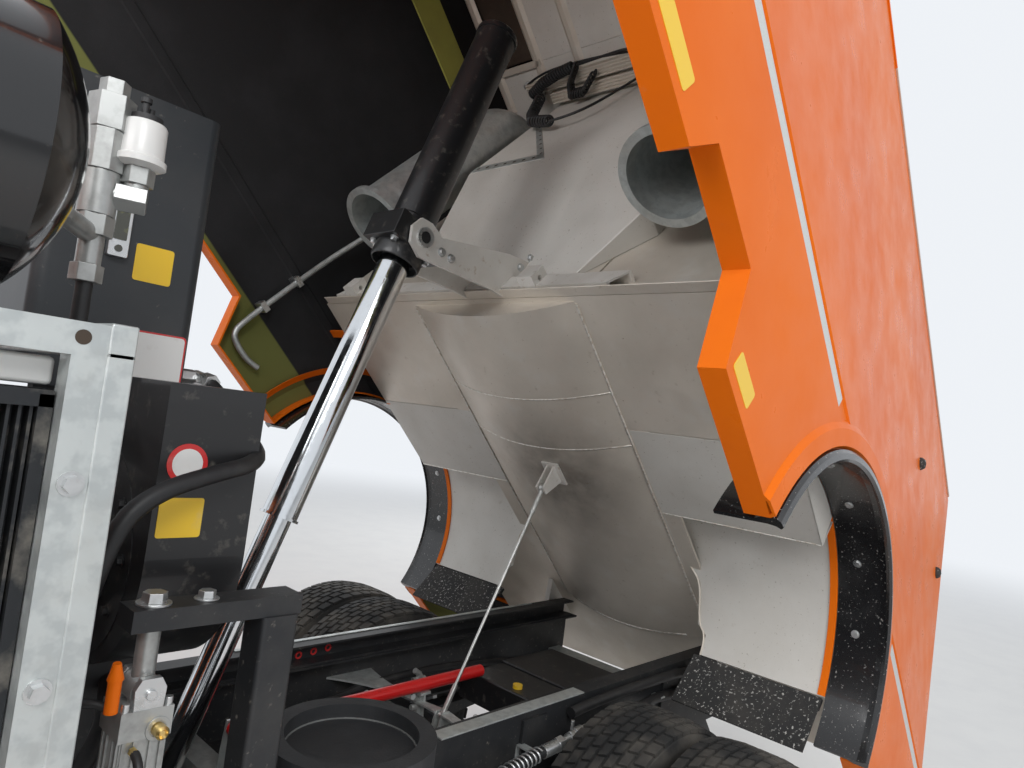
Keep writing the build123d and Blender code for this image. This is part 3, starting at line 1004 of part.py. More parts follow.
# Side brushes on swinging arms
ARM_X = 2080.0
ARM_Y = 600.0
ARM_Z = 470.0
BRUSH_X = 2610.0
BRUSH_Y = 880.0
BRUSH_R = 330.0
BRUSH_PLATE_Z = 300.0
BRUSH_LOW_Z = 120.0
for name, side in SIDES:
    with BuildPart() as broom_arm:
        reach = hypot(BRUSH_X - ARM_X, BRUSH_Y - ARM_Y)
        nx = -(BRUSH_Y - ARM_Y) / reach * 35
        ny = (BRUSH_X - ARM_X) / reach * 35
        plan_shape(
            [(ARM_X + nx, side * (ARM_Y + ny)), (BRUSH_X + nx, side * (BRUSH_Y + ny)),
             (BRUSH_X - nx, side * (BRUSH_Y - ny)), (ARM_X - nx, side * (ARM_Y - ny))], ARM_Z, ARM_Z + 50)
        rod((ARM_X, side * ARM_Y, ARM_Z), (ARM_X, side * ARM_Y, ARM_Z + 50), 48)
        rod((ARM_X, side * ARM_Y, ARM_Z - 1), (ARM_X, side * ARM_Y, ARM_Z + 51), 20 + RUN_GAP, mode=Mode.SUBTRACT)
        # Motor over the brush
        rod((BRUSH_X, side * BRUSH_Y, BRUSH_PLATE_Z + 50), (BRUSH_X, side * BRUSH_Y, ARM_Z + 110), 62)
        rod((BRUSH_X, side * BRUSH_Y, BRUSH_PLATE_Z + 49), (BRUSH_X, side * BRUSH_Y, BRUSH_PLATE_Z + 90), 20 + RUN_GAP, mode=Mode.SUBTRACT)
    hand_over(broom_arm.part, "broom_arm_" + name)

    with BuildPart() as broom:
        rod((BRUSH_X, side * BRUSH_Y, BRUSH_PLATE_Z), (BRUSH_X, side * BRUSH_Y, BRUSH_PLATE_Z + 30), 190)
        rod((BRUSH_X, side * BRUSH_Y, BRUSH_PLATE_Z + 20), (BRUSH_X, side * BRUSH_Y, BRUSH_PLATE_Z + 88), 20)
        with Locations((BRUSH_X, side * BRUSH_Y, BRUSH_PLATE_Z + 5)):
            with PolarLocations(165, 24):
                with Locations(Location((0, 0, 0), (0, 0, 0))):
                    Box(60, 34, 10)
        section = Plane(origin=(BRUSH_X, side * BRUSH_Y, 0), x_dir=(1, 0, 0), z_dir=(0, -1, 0))
        with BuildSketch(section) as skirt:
            with BuildLine():
                Polyline((135, BRUSH_PLATE_Z + 6), (185, BRUSH_PLATE_Z + 6), (BRUSH_R, BRUSH_LOW_Z), (BRUSH_R - 60, BRUSH_LOW_Z), close=True)
            make_face()
        revolve(skirt.sketch, axis=Axis((BRUSH_X, side * BRUSH_Y, 0), (0, 0, 1)))
    hand_over(broom.part, "broom_" + name)

with BuildPart() as broom_mounts:
    for name, side in SIDES:
        y = side * ARM_Y
        rod((ARM_X, y, ARM_Z - 40), (ARM_X, y, RAIL_TOP - 150), 20)
        rod((ARM_X, y, ARM_Z - 40), (ARM_X, y, ARM_Z - 6), 44)
        rod((ARM_X, y, ARM_Z + 56), (ARM_X, y, RAIL_TOP - 150), 40)
        block(ARM_X - 50, ARM_X + 50, side * (RAIL_Y + TOUCH_GAP), y, RAIL_TOP - 230, RAIL_TOP - 160)
        rod((ARM_X, y, ARM_Z - 6), (ARM_X, y, ARM_Z - TOUCH_GAP), 30)
hand_over(broom_mounts.part, "broom_mounts")


# Road engine, gearbox and radiator as plain masses
with BuildPart() as drive_engine:
    block(3420, 4480, -330, 330, AXLE_Z + 130, 1180)
    block(3500, 4380, -200, 200, 1178, 1300)
    block(3420, 4480, -150, 150, AXLE_Z + 60, AXLE_Z + 132)
    rod((2460, 0, AXLE_Z + 80), (3425, 0, AXLE_Z + 180), 130)
    block(4560, 4640, -360, 360, 560, 1150)
    rod((4478, 0, 900), (4562, 0, 900), 60)
    for side in (-1, 1):
        block(4000, 4090, side * 325, side * (RAIL_Y - RAIL_WALL - TOUCH_GAP), 740, 800)
hand_over(drive_engine.part, "drive_engine")

# Fuel tank on one side and battery box on the other
with BuildPart() as side_tanks:
    for side, x0, x1 in ((1, 1640.0, 1990.0), (-1, 1640.0, 1990.0)):
        block(x0, x1, side * 520, side * 1130, 420, 800)
    edges = side_tanks.edges().filter_by(Axis.X)
    fillet(edges, 40)
    for side, x0, x1 in ((1, 1640.0, 1990.0), (-1, 1640.0, 1990.0)):
        for x in (x0 + 40, x1 - 90):
            block(x, x + 50, side * (RAIL_Y + TOUCH_GAP), side * 530, 560, 860)
hand_over(side_tanks.part, "side_tanks")

# Mudguards over the steered wheels with the entry steps before them
GUARD_R = 640.0
GUARD_T = 8.0
STEP_X0 = 4455.0
STEP_X1 = 4900.0
with BuildPart() as front_mudguards:
    for name, side in SIDES:
        y0, y1 = side * 640, side * CAB_HALF_W
        rod((FRONT_AXLE_X, y0, AXLE_Z), (FRONT_AXLE_X, y1, AXLE_Z), GUARD_R + GUARD_T)
        rod((FRONT_AXLE_X, side * 600, AXLE_Z), (FRONT_AXLE_X, side * (CAB_HALF_W + 20), AXLE_Z), GUARD_R, mode=Mode.SUBTRACT)
    block(FRONT_AXLE_X - 700, FRONT_AXLE_X + 700, -CAB_HALF_W - 5, CAB_HALF_W + 5, -200, AXLE_Z + 120, mode=Mode.SUBTRACT)
    for name, side in SIDES:
        y0, y1 = side * 640, side * CAB_HALF_W
        # Step well: side wall, two treads and a hanger to the rail
        block(STEP_X0, STEP_X1, y0, side * 660, 380, 960)
        block(STEP_X0, STEP_X1, side * 655, y1, 380, 410)
        block(STEP_X0, STEP_X1, side * 655, side * 960, 680, 710)
        block(STEP_X0, STEP_X0 + 20, side * 655, y1, 380, 960)
        block(STEP_X1 - 20, STEP_X1, side * 655, y1, 380, 960)
        block(STEP_X0 + 60, STEP_X0 + 120, side * (RAIL_Y + TOUCH_GAP), y0, 760, 820)
        block(STEP_X1 - 120, STEP_X1 - 60, side * (RAIL_Y + TOUCH_GAP), y0, 760, 820)
        block(FRONT_AXLE_X - 560, FRONT_AXLE_X - 500, side * (RAIL_Y + TOUCH_GAP), side * 650, 820, 860)
        block(STEP_X0 - 25, STEP_X0 + 5, y0, y1, 640, 720)
hand_over(front_mudguards.part, "front_mudguards")

BUMPER_TOP = 650.0
BUMPER_LOW = 340.0
REAR_BAR_X = -1240.0
TOW_X = NOSE_X - 2.0
TOW_Y = 320.0
TOW_Z = 490.0
TOW_R = 16.0
TOW_LEN = 70.0
HITCH_Z = 440.0
HITCH_Y_PITCH = 160.0
HITCH_Z_PITCH = 100.0
HITCH_R = 10.5
HITCH_T = 16.0
with BuildPart() as front_bumper:
    outer = [
        (4930, -1150), (5080, -1150), (5185, -1050), (NOSE_X, -700), (NOSE_X, 700), (5185, 1050),
        (5080, 1150), (4930, 1150), (4930, 1142), (5076, 1142), (5178, 1044), (NOSE_X - 9, 696),
        (NOSE_X - 9, -696), (5178, -1044), (5076, -1142), (4930, -1142),
    ]
    plan_shape(outer, BUMPER_LOW, BUMPER_TOP)
    # Cross tube to the ends of the rails
    block(RAIL_FRONT_X, RAIL_FRONT_X + 60, -780, 780, 440, 520)
    for side in (-1, 1):
        block(RAIL_FRONT_X, RAIL_FRONT_X + 12, side * 385, side * RAIL_Y, 440, RAIL_TOP - RAIL_H - 20)
        block(RAIL_FRONT_X + 30, NOSE_X - 5, side * 500, side * 540, 450, 510)
        block(RAIL_FRONT_X - 60, RAIL_FRONT_X + 12, side * 385, side * RAIL_Y, RAIL_TOP - RAIL_H - 80, RAIL_TOP - RAIL_H - TOUCH_GAP)
    # Lamp bays and the towing eye bore
    for side in (-1, 1):
        block(NOSE_X - 160, NOSE_X + 10, side * 740, side * 1020, 480, 620, mode=Mode.SUBTRACT)
    # Socket of the towing eye in a boss behind the skin
    rod((TOW_X - 90, TOW_Y, TOW_Z), (NOSE_X - 2, TOW_Y, TOW_Z), TOW_R + 14)
    block(RAIL_FRONT_X + 40, TOW_X - 60, TOW_Y - 20, TOW_Y + 20, TOW_Z - 30, TOW_Z + 30)
    rod((TOW_X - TOW_LEN, TOW_Y, TOW_Z), (NOSE_X + 5, TOW_Y, TOW_Z), TOW_R, mode=Mode.SUBTRACT)
hand_over(front_bumper.part, "front_bumper")

with BuildPart() as lamps:
    for side in (-1, 1):
        block(5110, 5172, side * 744, side * 1016, 484, 616)
        block(RAIL_FRONT_X + 60 + TOUCH_GAP, 5112, side * 744, side * 776, 490, 515)
    for side in (-1, 1):
        block(REAR_BAR_X - 70, REAR_BAR_X - 40 - TOUCH_GAP, side * 640, side * 950, 405, 475)
hand_over(lamps.part, "lamps")

with BuildPart() as rear_bumper:
    block(REAR_BAR_X - 40, REAR_BAR_X + 40, -960, 960, 400, 480)
    for side in (-1, 1):
        hanger = [
            (REAR_BAR_X - 20, 440), (REAR_BAR_X + 40, 440), (RAIL_REAR_X + 130, RAIL_TOP - RAIL_H - TOUCH_GAP),
            (RAIL_REAR_X + 5, RAIL_TOP - RAIL_H - TOUCH_GAP), (REAR_BAR_X - 20, 500),
        ]
        side_shape(hanger, side * 400, side * 416)
    # Plate for a towing coupling, four holes
    block(REAR_BAR_X - 40 - HITCH_T, REAR_BAR_X - 39, -115, 115, HITCH_Z - 80, HITCH_Z + 80)
    for dy in (-HITCH_Y_PITCH / 2, HITCH_Y_PITCH / 2):
        for dz in (-HITCH_Z_PITCH / 2, HITCH_Z_PITCH / 2):
            rod((REAR_BAR_X - 41 - HITCH_T, dy, HITCH_Z + dz), (REAR_BAR_X + 45, dy, HITCH_Z + dz), HITCH_R, mode=Mode.SUBTRACT)
hand_over(rear_bumper.part, "rear_bumper")


# Cab, hollow, with its doors, windows and wheel arch cut out
def cab_side(inset):
    # Roof, raked screen and nose, seen from the side; the floor line comes later
    return [
        (CAB_BACK_X + inset, CAB_FLOOR_Z), (CAB_BACK_X + inset, CAB_TOP_Z - 60 - inset),
        (CAB_BACK_X + 60 + inset, CAB_TOP_Z - inset), (CAB_NOSE_X - 420, CAB_TOP_Z - inset),
        (CAB_NOSE_X - 230 - inset, CAB_TOP_Z - 130 - inset * 0.4), (CAB_NOSE_X - 20 - inset, 1480),
        (CAB_NOSE_X - inset, 1380), (CAB_NOSE_X - inset, 1000),
    ]


GRILLE_LOW_Z = CAB_PIVOT_Z + 25.0
TUNNEL_Y = 440.0
DOOR_X0 = 3990.0
DOOR_LOW_Z = 1075.0
DOOR_TOP_Z = 2540.0
SILL_Z = 1620.0
with BuildPart() as cab_shell:
    outline = cab_side(0) + [(CAB_NOSE_X, GRILLE_LOW_Z), (CAB_NOSE_X - 190, GRILLE_LOW_Z), (CAB_NOSE_X - 230, CAB_FLOOR_Z)]
    side_shape(outline, -CAB_HALF_W, CAB_HALF_W)
    fillet(cab_shell.edges().filter_by(Axis.Y).group_by(Axis.Z)[-1], 60)
    long_edges = [e for e in cab_shell.edges().filter_by(Plane.XZ) if e.center().Z > 1500]
    chamfer(long_edges, 45)
    # Wheel arches
    for side in (-1, 1):
        rod((FRONT_AXLE_X, side * (RAIL_Y + 60), AXLE_Z), (FRONT_AXLE_X, side * (CAB_HALF_W + 10), AXLE_Z), CAB_ARCH_R, mode=Mode.SUBTRACT)
    # Room inside, above the floor, the arches and the engine tunnel
    with BuildPart(mode=Mode.PRIVATE) as room:
        side_shape(cab_side(CAB_SKIN), -CAB_HALF_W + CAB_SKIN, CAB_HALF_W - CAB_SKIN)
        block(CAB_BACK_X, NOSE_X, -CAB_HALF_W, CAB_HALF_W, 800, CAB_FLOOR_Z + 30, mode=Mode.SUBTRACT)
        for side in (-1, 1):
            rod((FRONT_AXLE_X, side * (RAIL_Y + 30), AXLE_Z), (FRONT_AXLE_X, side * CAB_HALF_W, AXLE_Z), CAB_ARCH_R + 25, mode=Mode.SUBTRACT)
        block(CAB_BACK_X, 4720, -TUNNEL_Y - 30, TUNNEL_Y + 30, 900, 1395, mode=Mode.SUBTRACT)
    add(room.part, mode=Mode.SUBTRACT)
    block(CAB_BACK_X - 1, 4690, -TUNNEL_Y, TUNNEL_Y, 900, 1365, mode=Mode.SUBTRACT)
    # Windscreen, rear window and door openings
    with Locations(Plane(origin=(CAB_NOSE_X - 125, 0, 2040), x_dir=(0, 1, 0), z_dir=(1140, 0, 210)).location):
        Box(2 * CAB_HALF_W - 190, 940, 260, mode=Mode.SUBTRACT)
    block(CAB_BACK_X - 5, CAB_BACK_X + 60, -700, 700, 1750, 2350, mode=Mode.SUBTRACT)
    door = [
        (4920, DOOR_LOW_Z), (4920, 1560), (4800, 2400), (4740, DOOR_TOP_Z), (DOOR_X0, DOOR_TOP_Z),
        (DOOR_X0, 1260), (4240, 1130), (4330, DOOR_LOW_Z),
    ]
    for side in (-1, 1):
        side_shape(door, side * (CAB_HALF_W - CAB_SKIN - 5), side * (CAB_HALF_W + 5), mode=Mode.SUBTRACT)
    # Nose opening behind the grille
    block(CAB_NOSE_X - 60, CAB_NOSE_X + 5, -620, 620, 860, 1180, mode=Mode.SUBTRACT)
    # Hinge brackets of the cab tilt
    for side in (-1, 1):
        block(4930, 5040, side * 560, side * 590, CAB_PIVOT_Z + 60, CAB_FLOOR_Z + 10)
        rod((CAB_PIVOT_X, side * 560, CAB_PIVOT_Z), (CAB_PIVOT_X, side * 590, CAB_PIVOT_Z), 32)
        block(CAB_PIVOT_X - 30, CAB_PIVOT_X + 30, side * 560, side * 590, CAB_PIVOT_Z, CAB_PIVOT_Z + 70)
        rod((CAB_PIVOT_X, side * 550, CAB_PIVOT_Z), (CAB_PIVOT_X, side * 600, CAB_PIVOT_Z), 16 + RUN_GAP, mode=Mode.SUBTRACT)
hand_over(cab_shell.part, "cab_shell")


DOOR_GAP = 6.0
for name, side in SIDES:
    with BuildPart() as door_part:
        g = DOOR_GAP
        door_skin = [
            (4920 - g, DOOR_LOW_Z + g), (4920 - g, 1560), (4800 - g, 2400), (4740 - g, DOOR_TOP_Z - g), (DOOR_X0 + g, DOOR_TOP_Z - g),
            (DOOR_X0 + g, 1264), (4243, 1130 + g * 1.4), (4334, DOOR_LOW_Z + g),
        ]
        side_shape(door_skin, side * (CAB_HALF_W - CAB_SKIN), side * CAB_HALF_W)
        window = [
            (4848, SILL_Z), (4745, 2400), (4700, 2470), (DOOR_X0 + 80, 2470), (DOOR_X0 + 80, SILL_Z),
        ]
        side_shape(window, side * (CAB_HALF_W - CAB_SKIN - 5), side * (CAB_HALF_W + 5), mode=Mode.SUBTRACT)
        block(DOOR_X0 + 60, DOOR_X0 + 200, side * (CAB_HALF_W - 2), side * (CAB_HALF_W + 22), 1480, 1515)
        for z in (1250.0, 1500.0):
            rod((DOOR_HINGE_X, side * DOOR_HINGE_Y, z), (DOOR_HINGE_X, side * DOOR_HINGE_Y, z + 60), 12)
            block(4890, 4908, side * (CAB_HALF_W - 3), side * (CAB_HALF_W + 8), z, z + 60)
            block(4890, DOOR_HINGE_X, side * (CAB_HALF_W + 1), side * (CAB_HALF_W + 8), z, z + 60)
            rod((DOOR_HINGE_X, side * DOOR_HINGE_Y, z - 1), (DOOR_HINGE_X, side * DOOR_HINGE_Y, z + 61), 6 + RUN_GAP, mode=Mode.SUBTRACT)
    hand_over(door_part.part, "door_" + name)

    with BuildPart() as door_glass:
        pane = [
            (4847, SILL_Z + TOUCH_GAP), (4744, 2400), (4699, 2470 - TOUCH_GAP), (DOOR_X0 + 80 + TOUCH_GAP, 2470 - TOUCH_GAP),
            (DOOR_X0 + 80 + TOUCH_GAP, SILL_Z + TOUCH_GAP),
        ]
        side_shape(pane, side * (CAB_HALF_W - 22), side * (CAB_HALF_W - 22 + GLASS_T))
    hand_over(door_glass.part, "door_glass_" + name)


with BuildPart() as cab_glass:
    with Locations(Plane(origin=(CAB_NOSE_X - 142, 0, 2037), x_dir=(0, 1, 0), z_dir=(1140, 0, 210)).location):
        Box(2 * CAB_HALF_W - 192, 938, GLASS_T)
    block(CAB_BACK_X + 12, CAB_BACK_X + 18, -700 + TOUCH_GAP, 700 - TOUCH_GAP, 1750 + TOUCH_GAP, 2350 - TOUCH_GAP)
hand_over(cab_glass.part, "cab_glass")

with BuildPart() as grille:
    for z in (875.0, 935.0, 995.0, 1055.0, 1115.0):
        side_shape([(CAB_NOSE_X - 40, z), (CAB_NOSE_X - 6, z + 14), (CAB_NOSE_X - 6, z + 34), (CAB_NOSE_X - 40, z + 20)], -619.7, 619.7)
    for y in (-610.0, -200.0, 200.0, 610.0):
        block(CAB_NOSE_X - 48, CAB_NOSE_X - 34, y - 8, y + 8, 861, 1179)
hand_over(grille.part, "grille")

with BuildPart() as mirrors:
    for name, side in SIDES:
        y = side * (CAB_HALF_W + TOUCH_GAP)
        for z in (1900.0, 2330.0):
            block(4955, 5010, y, side * (CAB_HALF_W + 10), z - 24, z + 24)
            rod((4985, side * (CAB_HALF_W + 6), z), (5040, side * 1290, z), 11)
        rod((5040, side * 1290, 1850), (5040, side * 1290, 2380), 11)
        block(5010, 5060, side * 1180, side * 1400, 1980, 2300)
        block(5012, 5058, side * 1200, side * 1385, 1830, 1960)
    # Hinge pins of the doors on the pillars
    for name, side in SIDES:
        for z in (1250.0, 1500.0):
            rod((DOOR_HINGE_X, side * DOOR_HINGE_Y, z - 24), (DOOR_HINGE_X, side * DOOR_HINGE_Y, z + 84), 6)
            for dz in (-24.0, 62.0):
                block(DOOR_HINGE_X - 10, DOOR_HINGE_X + 40, side * (CAB_HALF_W + TOUCH_GAP), side * (DOOR_HINGE_Y + 8), z + dz, z + dz + 22)
hand_over(mirrors.part, "mirrors")

with BuildPart() as dashboard:
    shape = [(4800, 1230), (4990, 1230), (5130, 1400), (5100, 1500), (4900, 1480), (4800, 1400)]
    side_shape(shape, -1080, 1080)
    for y in (-1000.0, 1000.0):
        block(4850, 4900, y - 30, y + 30, CAB_FLOOR_Z + 30 + TOUCH_GAP, 1240)
    wheel = Plane(origin=(4660, 740, 1690), z_dir=(-0.5, 0, 0.87))
    rod((4850, 740, 1360), (4660, 740, 1690), 28)
    with Locations(wheel.location):
        Torus(215, 14)
        Box(420, 36, 12)
        Cylinder(50, 24)
hand_over(dashboard.part, "dashboard")

with BuildPart() as seats:
    for y in (-740.0, 740.0):
        cushion = [
            (3960, 1480), (3990, 1390), (4440, 1400), (4470, 1470), (4430, 1520), (4060, 1500),
            (3900, 2160), (3850, 2360), (3770, 2350), (3800, 2140), (3880, 1540),
        ]
        side_shape(cushion, y - 225, y + 225)
        block(4030, 4330, y - 150, y + 150, 1240, 1396)
        block(4310, 4420, y - 60, y + 60, CAB_FLOOR_Z + 30 + TOUCH_GAP, 1405)
        block(4200, 4420, y - 60, y + 60, 1300, 1398)
hand_over(seats.part, "seats")

with BuildPart() as beacons:
    for y in (-760.0, 760.0):
        rod((3500, y, CAB_TOP_Z + TOUCH_GAP), (3500, y, CAB_TOP_Z + 30), 80)
        rod((3500, y, CAB_TOP_Z + 28), (3500, y, CAB_TOP_Z + 150), 68)
hand_over(beacons.part, "beacons")
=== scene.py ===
import bmesh
import bpy
import json
from math import atan, cos, pi, radians, sin
from random import Random

from mathutils import Matrix, Vector


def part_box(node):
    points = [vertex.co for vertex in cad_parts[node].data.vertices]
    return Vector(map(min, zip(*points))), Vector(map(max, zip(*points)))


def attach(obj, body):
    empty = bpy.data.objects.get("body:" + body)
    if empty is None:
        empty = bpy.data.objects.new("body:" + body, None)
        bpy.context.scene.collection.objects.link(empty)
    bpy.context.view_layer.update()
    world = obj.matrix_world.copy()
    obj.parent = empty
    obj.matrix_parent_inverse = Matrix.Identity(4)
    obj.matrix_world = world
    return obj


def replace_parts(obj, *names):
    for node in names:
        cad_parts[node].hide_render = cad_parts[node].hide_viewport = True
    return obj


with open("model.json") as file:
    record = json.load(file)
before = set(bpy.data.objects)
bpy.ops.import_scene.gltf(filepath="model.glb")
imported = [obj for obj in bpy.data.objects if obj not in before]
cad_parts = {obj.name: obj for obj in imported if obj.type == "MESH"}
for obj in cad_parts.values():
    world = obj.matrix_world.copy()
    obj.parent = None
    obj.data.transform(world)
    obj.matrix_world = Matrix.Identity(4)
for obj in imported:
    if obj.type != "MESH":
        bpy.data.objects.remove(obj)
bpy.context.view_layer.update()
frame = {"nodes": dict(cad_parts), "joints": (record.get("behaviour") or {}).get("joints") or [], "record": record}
nodes = frame["nodes"]
joints = {joint["name"]: joint for joint in frame["joints"]}
SIDES = (("left", 1), ("right", -1))
X, Y, Z = (1, 0, 0), (0, 1, 0), (0, 0, 1)

# Places worked out from the frame, metres. Shapes are drawn from the rear axle, on the ground: STAND
# puts them in the frame, and TIPPED does it for the hopper's, which are drawn with the hopper lying
HINGE = Vector(joints["hopper_tip"]["pos_m"])
TIP = radians(45)
low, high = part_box("rear_tyres_left")
AXLE_X = (low.x + high.x) / 2
TYRE_R = (high.z - low.z) / 2
STAND = Matrix.Translation((AXLE_X, 0, 0))
TIPPED = Matrix.Translation(HINGE) @ Matrix.Rotation(-TIP, 4, "Y") @ Matrix.Translation(-HINGE) @ STAND


def add_node(tree, kind, inputs=None, **settings):
    """New shader node. Each input is given as a value or as the socket that it is linked to"""
    node = tree.nodes.new("ShaderNode" + kind)
    for key, value in settings.items():
        setattr(node, key, value)
    for key, value in (inputs or {}).items():
        if isinstance(value, bpy.types.NodeSocket):
            tree.links.new(value, node.inputs[key])
        else:
            node.inputs[key].default_value = value
    return node


# Camera, floor and light
BACKDROP = (0.86, 0.89, 0.93)
WORLD_LEVEL = 0.6
FLOOR_HALF = 60.0
FADE = (7.0, 20.0)
CAMERA_AT = Vector((1.026, 1.955, 1.978))
CAMERA_RIGHT = Vector((-0.6668, 0.7342, 0.126))
CAMERA_DOWN = Vector((-0.1228, 0.0584, -0.991))
CAMERA_FORWARD = Vector((-0.735, -0.6764, 0.0512))
FOCAL_PX = 711.5
IMAGE_W = 1024
SENSOR_MM = 36.0


def add_camera():
    data = bpy.data.cameras.new("camera")
    data.sensor_width = SENSOR_MM
    data.lens = FOCAL_PX / IMAGE_W * SENSOR_MM
    data.clip_start = 0.02
    data.clip_end = 200.0
    camera = bpy.data.objects.new("camera", data)
    turned = Matrix((CAMERA_RIGHT, -CAMERA_DOWN, -CAMERA_FORWARD)).transposed()
    camera.matrix_world = Matrix.Translation(CAMERA_AT) @ turned.to_4x4()
    bpy.context.scene.collection.objects.link(camera)
    bpy.context.scene.camera = camera


def add_light(name, place, aim, size, power):
    data = bpy.data.lights.new(name, "AREA")
    data.size = size
    data.energy = power
    light = bpy.data.objects.new(name, data)
    light.location = place
    light.rotation_mode = "QUATERNION"
    light.rotation_quaternion = (Vector(aim) - Vector(place)).to_track_quat("-Z", "Y")
    bpy.context.scene.collection.objects.link(light)


def add_world():
    """Backdrop at full strength for camera, gloss and glass, and lower as light on the truck"""
    world = bpy.data.worlds.new("studio")
    bpy.context.scene.world = world
    world.use_nodes = True
    tree = world.node_tree
    rays = add_node(tree, "LightPath").outputs
    seen = add_node(tree, "Math", {0: rays["Is Camera Ray"], 1: rays["Is Glossy Ray"]}, operation="MAXIMUM")
    seen = add_node(tree, "Math", {0: seen.outputs[0], 1: rays["Is Transmission Ray"]}, operation="MAXIMUM")
    level = add_node(tree, "MapRange", {"Value": seen.outputs[0], "To Min": WORLD_LEVEL, "To Max": 1.0})
    back = tree.nodes["Background"]
    back.inputs["Color"].default_value = (*BACKDROP, 1)
    tree.links.new(level.outputs["Result"], back.inputs["Strength"])


def floor_material():
    """Pale floor that turns into the backdrop's colour away from the truck, for the camera alone"""
    made = surface("floor", (0.7, 0.7, 0.69), 0.75, tones=[(3, 4, 0.4, 0.7, (0.64, 0.64, 0.64), 0.5)])
    tree = made.node_tree
    place = add_node(tree, "NewGeometry").outputs["Position"]
    reach = add_node(tree, "VectorMath", {0: place}, operation="LENGTH").outputs["Value"]
    limits = {"Value": reach, "From Min": FADE[0], "From Max": FADE[1]}
    fade = add_node(tree, "MapRange", limits, interpolation_type="SMOOTHSTEP").outputs["Result"]
    camera_ray = add_node(tree, "LightPath").outputs["Is Camera Ray"]
    share = add_node(tree, "Math", {0: camera_ray, 1: fade}, operation="MULTIPLY").outputs[0]
    glow = add_node(tree, "Emission", {"Color": (*BACKDROP, 1)}).outputs[0]
    both = add_node(tree, "MixShader", {0: share, 1: tree.nodes["Principled BSDF"].outputs[0], 2: glow})
    tree.links.new(both.outputs[0], tree.nodes["Material Output"].inputs["Surface"])
    return made


def add_studio():
    corners = [(FLOOR_HALF * x, FLOOR_HALF * y, 0) for x, y in ((-1, -1), (1, -1), (1, 1), (-1, 1))]
    mesh = bpy.data.meshes.new("studio_floor")
    mesh.from_pydata(corners, [], [(0, 1, 2, 3)])
    floor = bpy.data.objects.new("studio_floor", mesh)
    bpy.context.scene.collection.objects.link(floor)
    floor.data.materials.append(floor_material())
    add_light("key", (4.5, 9.0, 8.5), (-1.5, 0, 1.6), 5, 690)
    add_light("fill", (6.5, 1.0, 4.0), (-1.5, 0, 1.6), 4, 280)
    add_light("rear", (-9, -6, 7), (-1.5, 0, 2), 5, 450)
    bpy.context.scene.view_settings.view_transform = "Standard"
    add_world()


# Materials
COAT_ROUGH = 0.06
CLOUD_ROUGH = 0.6
paint = {}


def surface(name, base, rough, metal=0.0, tones=(), bumps=(), coat=0.0, rough_range=None,
            stretch=(1, 1, 1), ior=1.5, sheen=0.0, spots=(), bands=()):
    """tones: (scale, detail, low, high, colour, strength); bumps: (scale, detail, strength, depth)
    spots: (place, inner, outer, colour, strength); bands: (direction, from, to, colour)"""
    made = paint[name] = bpy.data.materials.new(name)
    made.use_nodes = True
    made.diffuse_color = (*base, 1)
    tree = made.node_tree
    shader = tree.nodes["Principled BSDF"].inputs
    for key, value in (
            ("Base Color", (*base, 1)), ("Roughness", rough), ("Metallic", metal), ("IOR", ior),
            ("Coat Weight", coat), ("Coat Roughness", COAT_ROUGH), ("Sheen Weight", sheen)):
        shader[key].default_value = value
    place = add_node(tree, "TexCoord").outputs["Object"]
    spread = add_node(tree, "Mapping", {"Vector": place, "Scale": stretch}).outputs["Vector"]

    def noise(scale, detail):
        cloud = {"Vector": spread, "Scale": scale, "Detail": detail, "Roughness": CLOUD_ROUGH}
        return add_node(tree, "TexNoise", cloud).outputs["Fac"]

    def ramp(value, start, end, lowest=0.0, highest=1.0):
        limits = {"Value": value, "From Min": start, "From Max": end, "To Min": lowest, "To Max": highest}
        return add_node(tree, "MapRange", limits).outputs["Result"]

    def blended(under, tint, share):
        mixed = {0: share, 6: under or (*base, 1), 7: (*tint, 1)}
        return add_node(tree, "Mix", mixed, data_type="RGBA").outputs[2]

    colour = None
    for scale, detail, start, end, tint, strength in tones:
        colour = blended(colour, tint, ramp(noise(scale, detail), start, end, highest=strength))
    for spot, inner, outer, tint, strength in spots:
        far = add_node(tree, "VectorMath", {0: place, 1: spot}, operation="DISTANCE").outputs["Value"]
        near = ramp(far, outer, inner, highest=strength)
        broken = add_node(tree, "Math", {0: near, 1: noise(9, 6)}, operation="MULTIPLY").outputs[0]
        colour = blended(colour, tint, broken)
    for direction, start, end, tint in bands:
        along = add_node(tree, "VectorMath", {0: place, 1: direction}, operation="DOT_PRODUCT")
        colour = blended(colour, tint, ramp(along.outputs["Value"], start, end))
    if colour:
        tree.links.new(colour, shader["Base Color"])
    if rough_range:
        scale, smoothest, roughest = rough_range
        tree.links.new(ramp(noise(scale, 5), 0.3, 0.7, smoothest, roughest), shader["Roughness"])
    normal = None
    for scale, detail, strength, depth in bumps:
        relief = {"Height": noise(scale, detail), "Strength": strength, "Distance": depth}
        if normal:
            relief["Normal"] = normal
        normal = add_node(tree, "Bump", relief).outputs["Normal"]
    if normal:
        tree.links.new(normal, shader["Normal"])
    return made


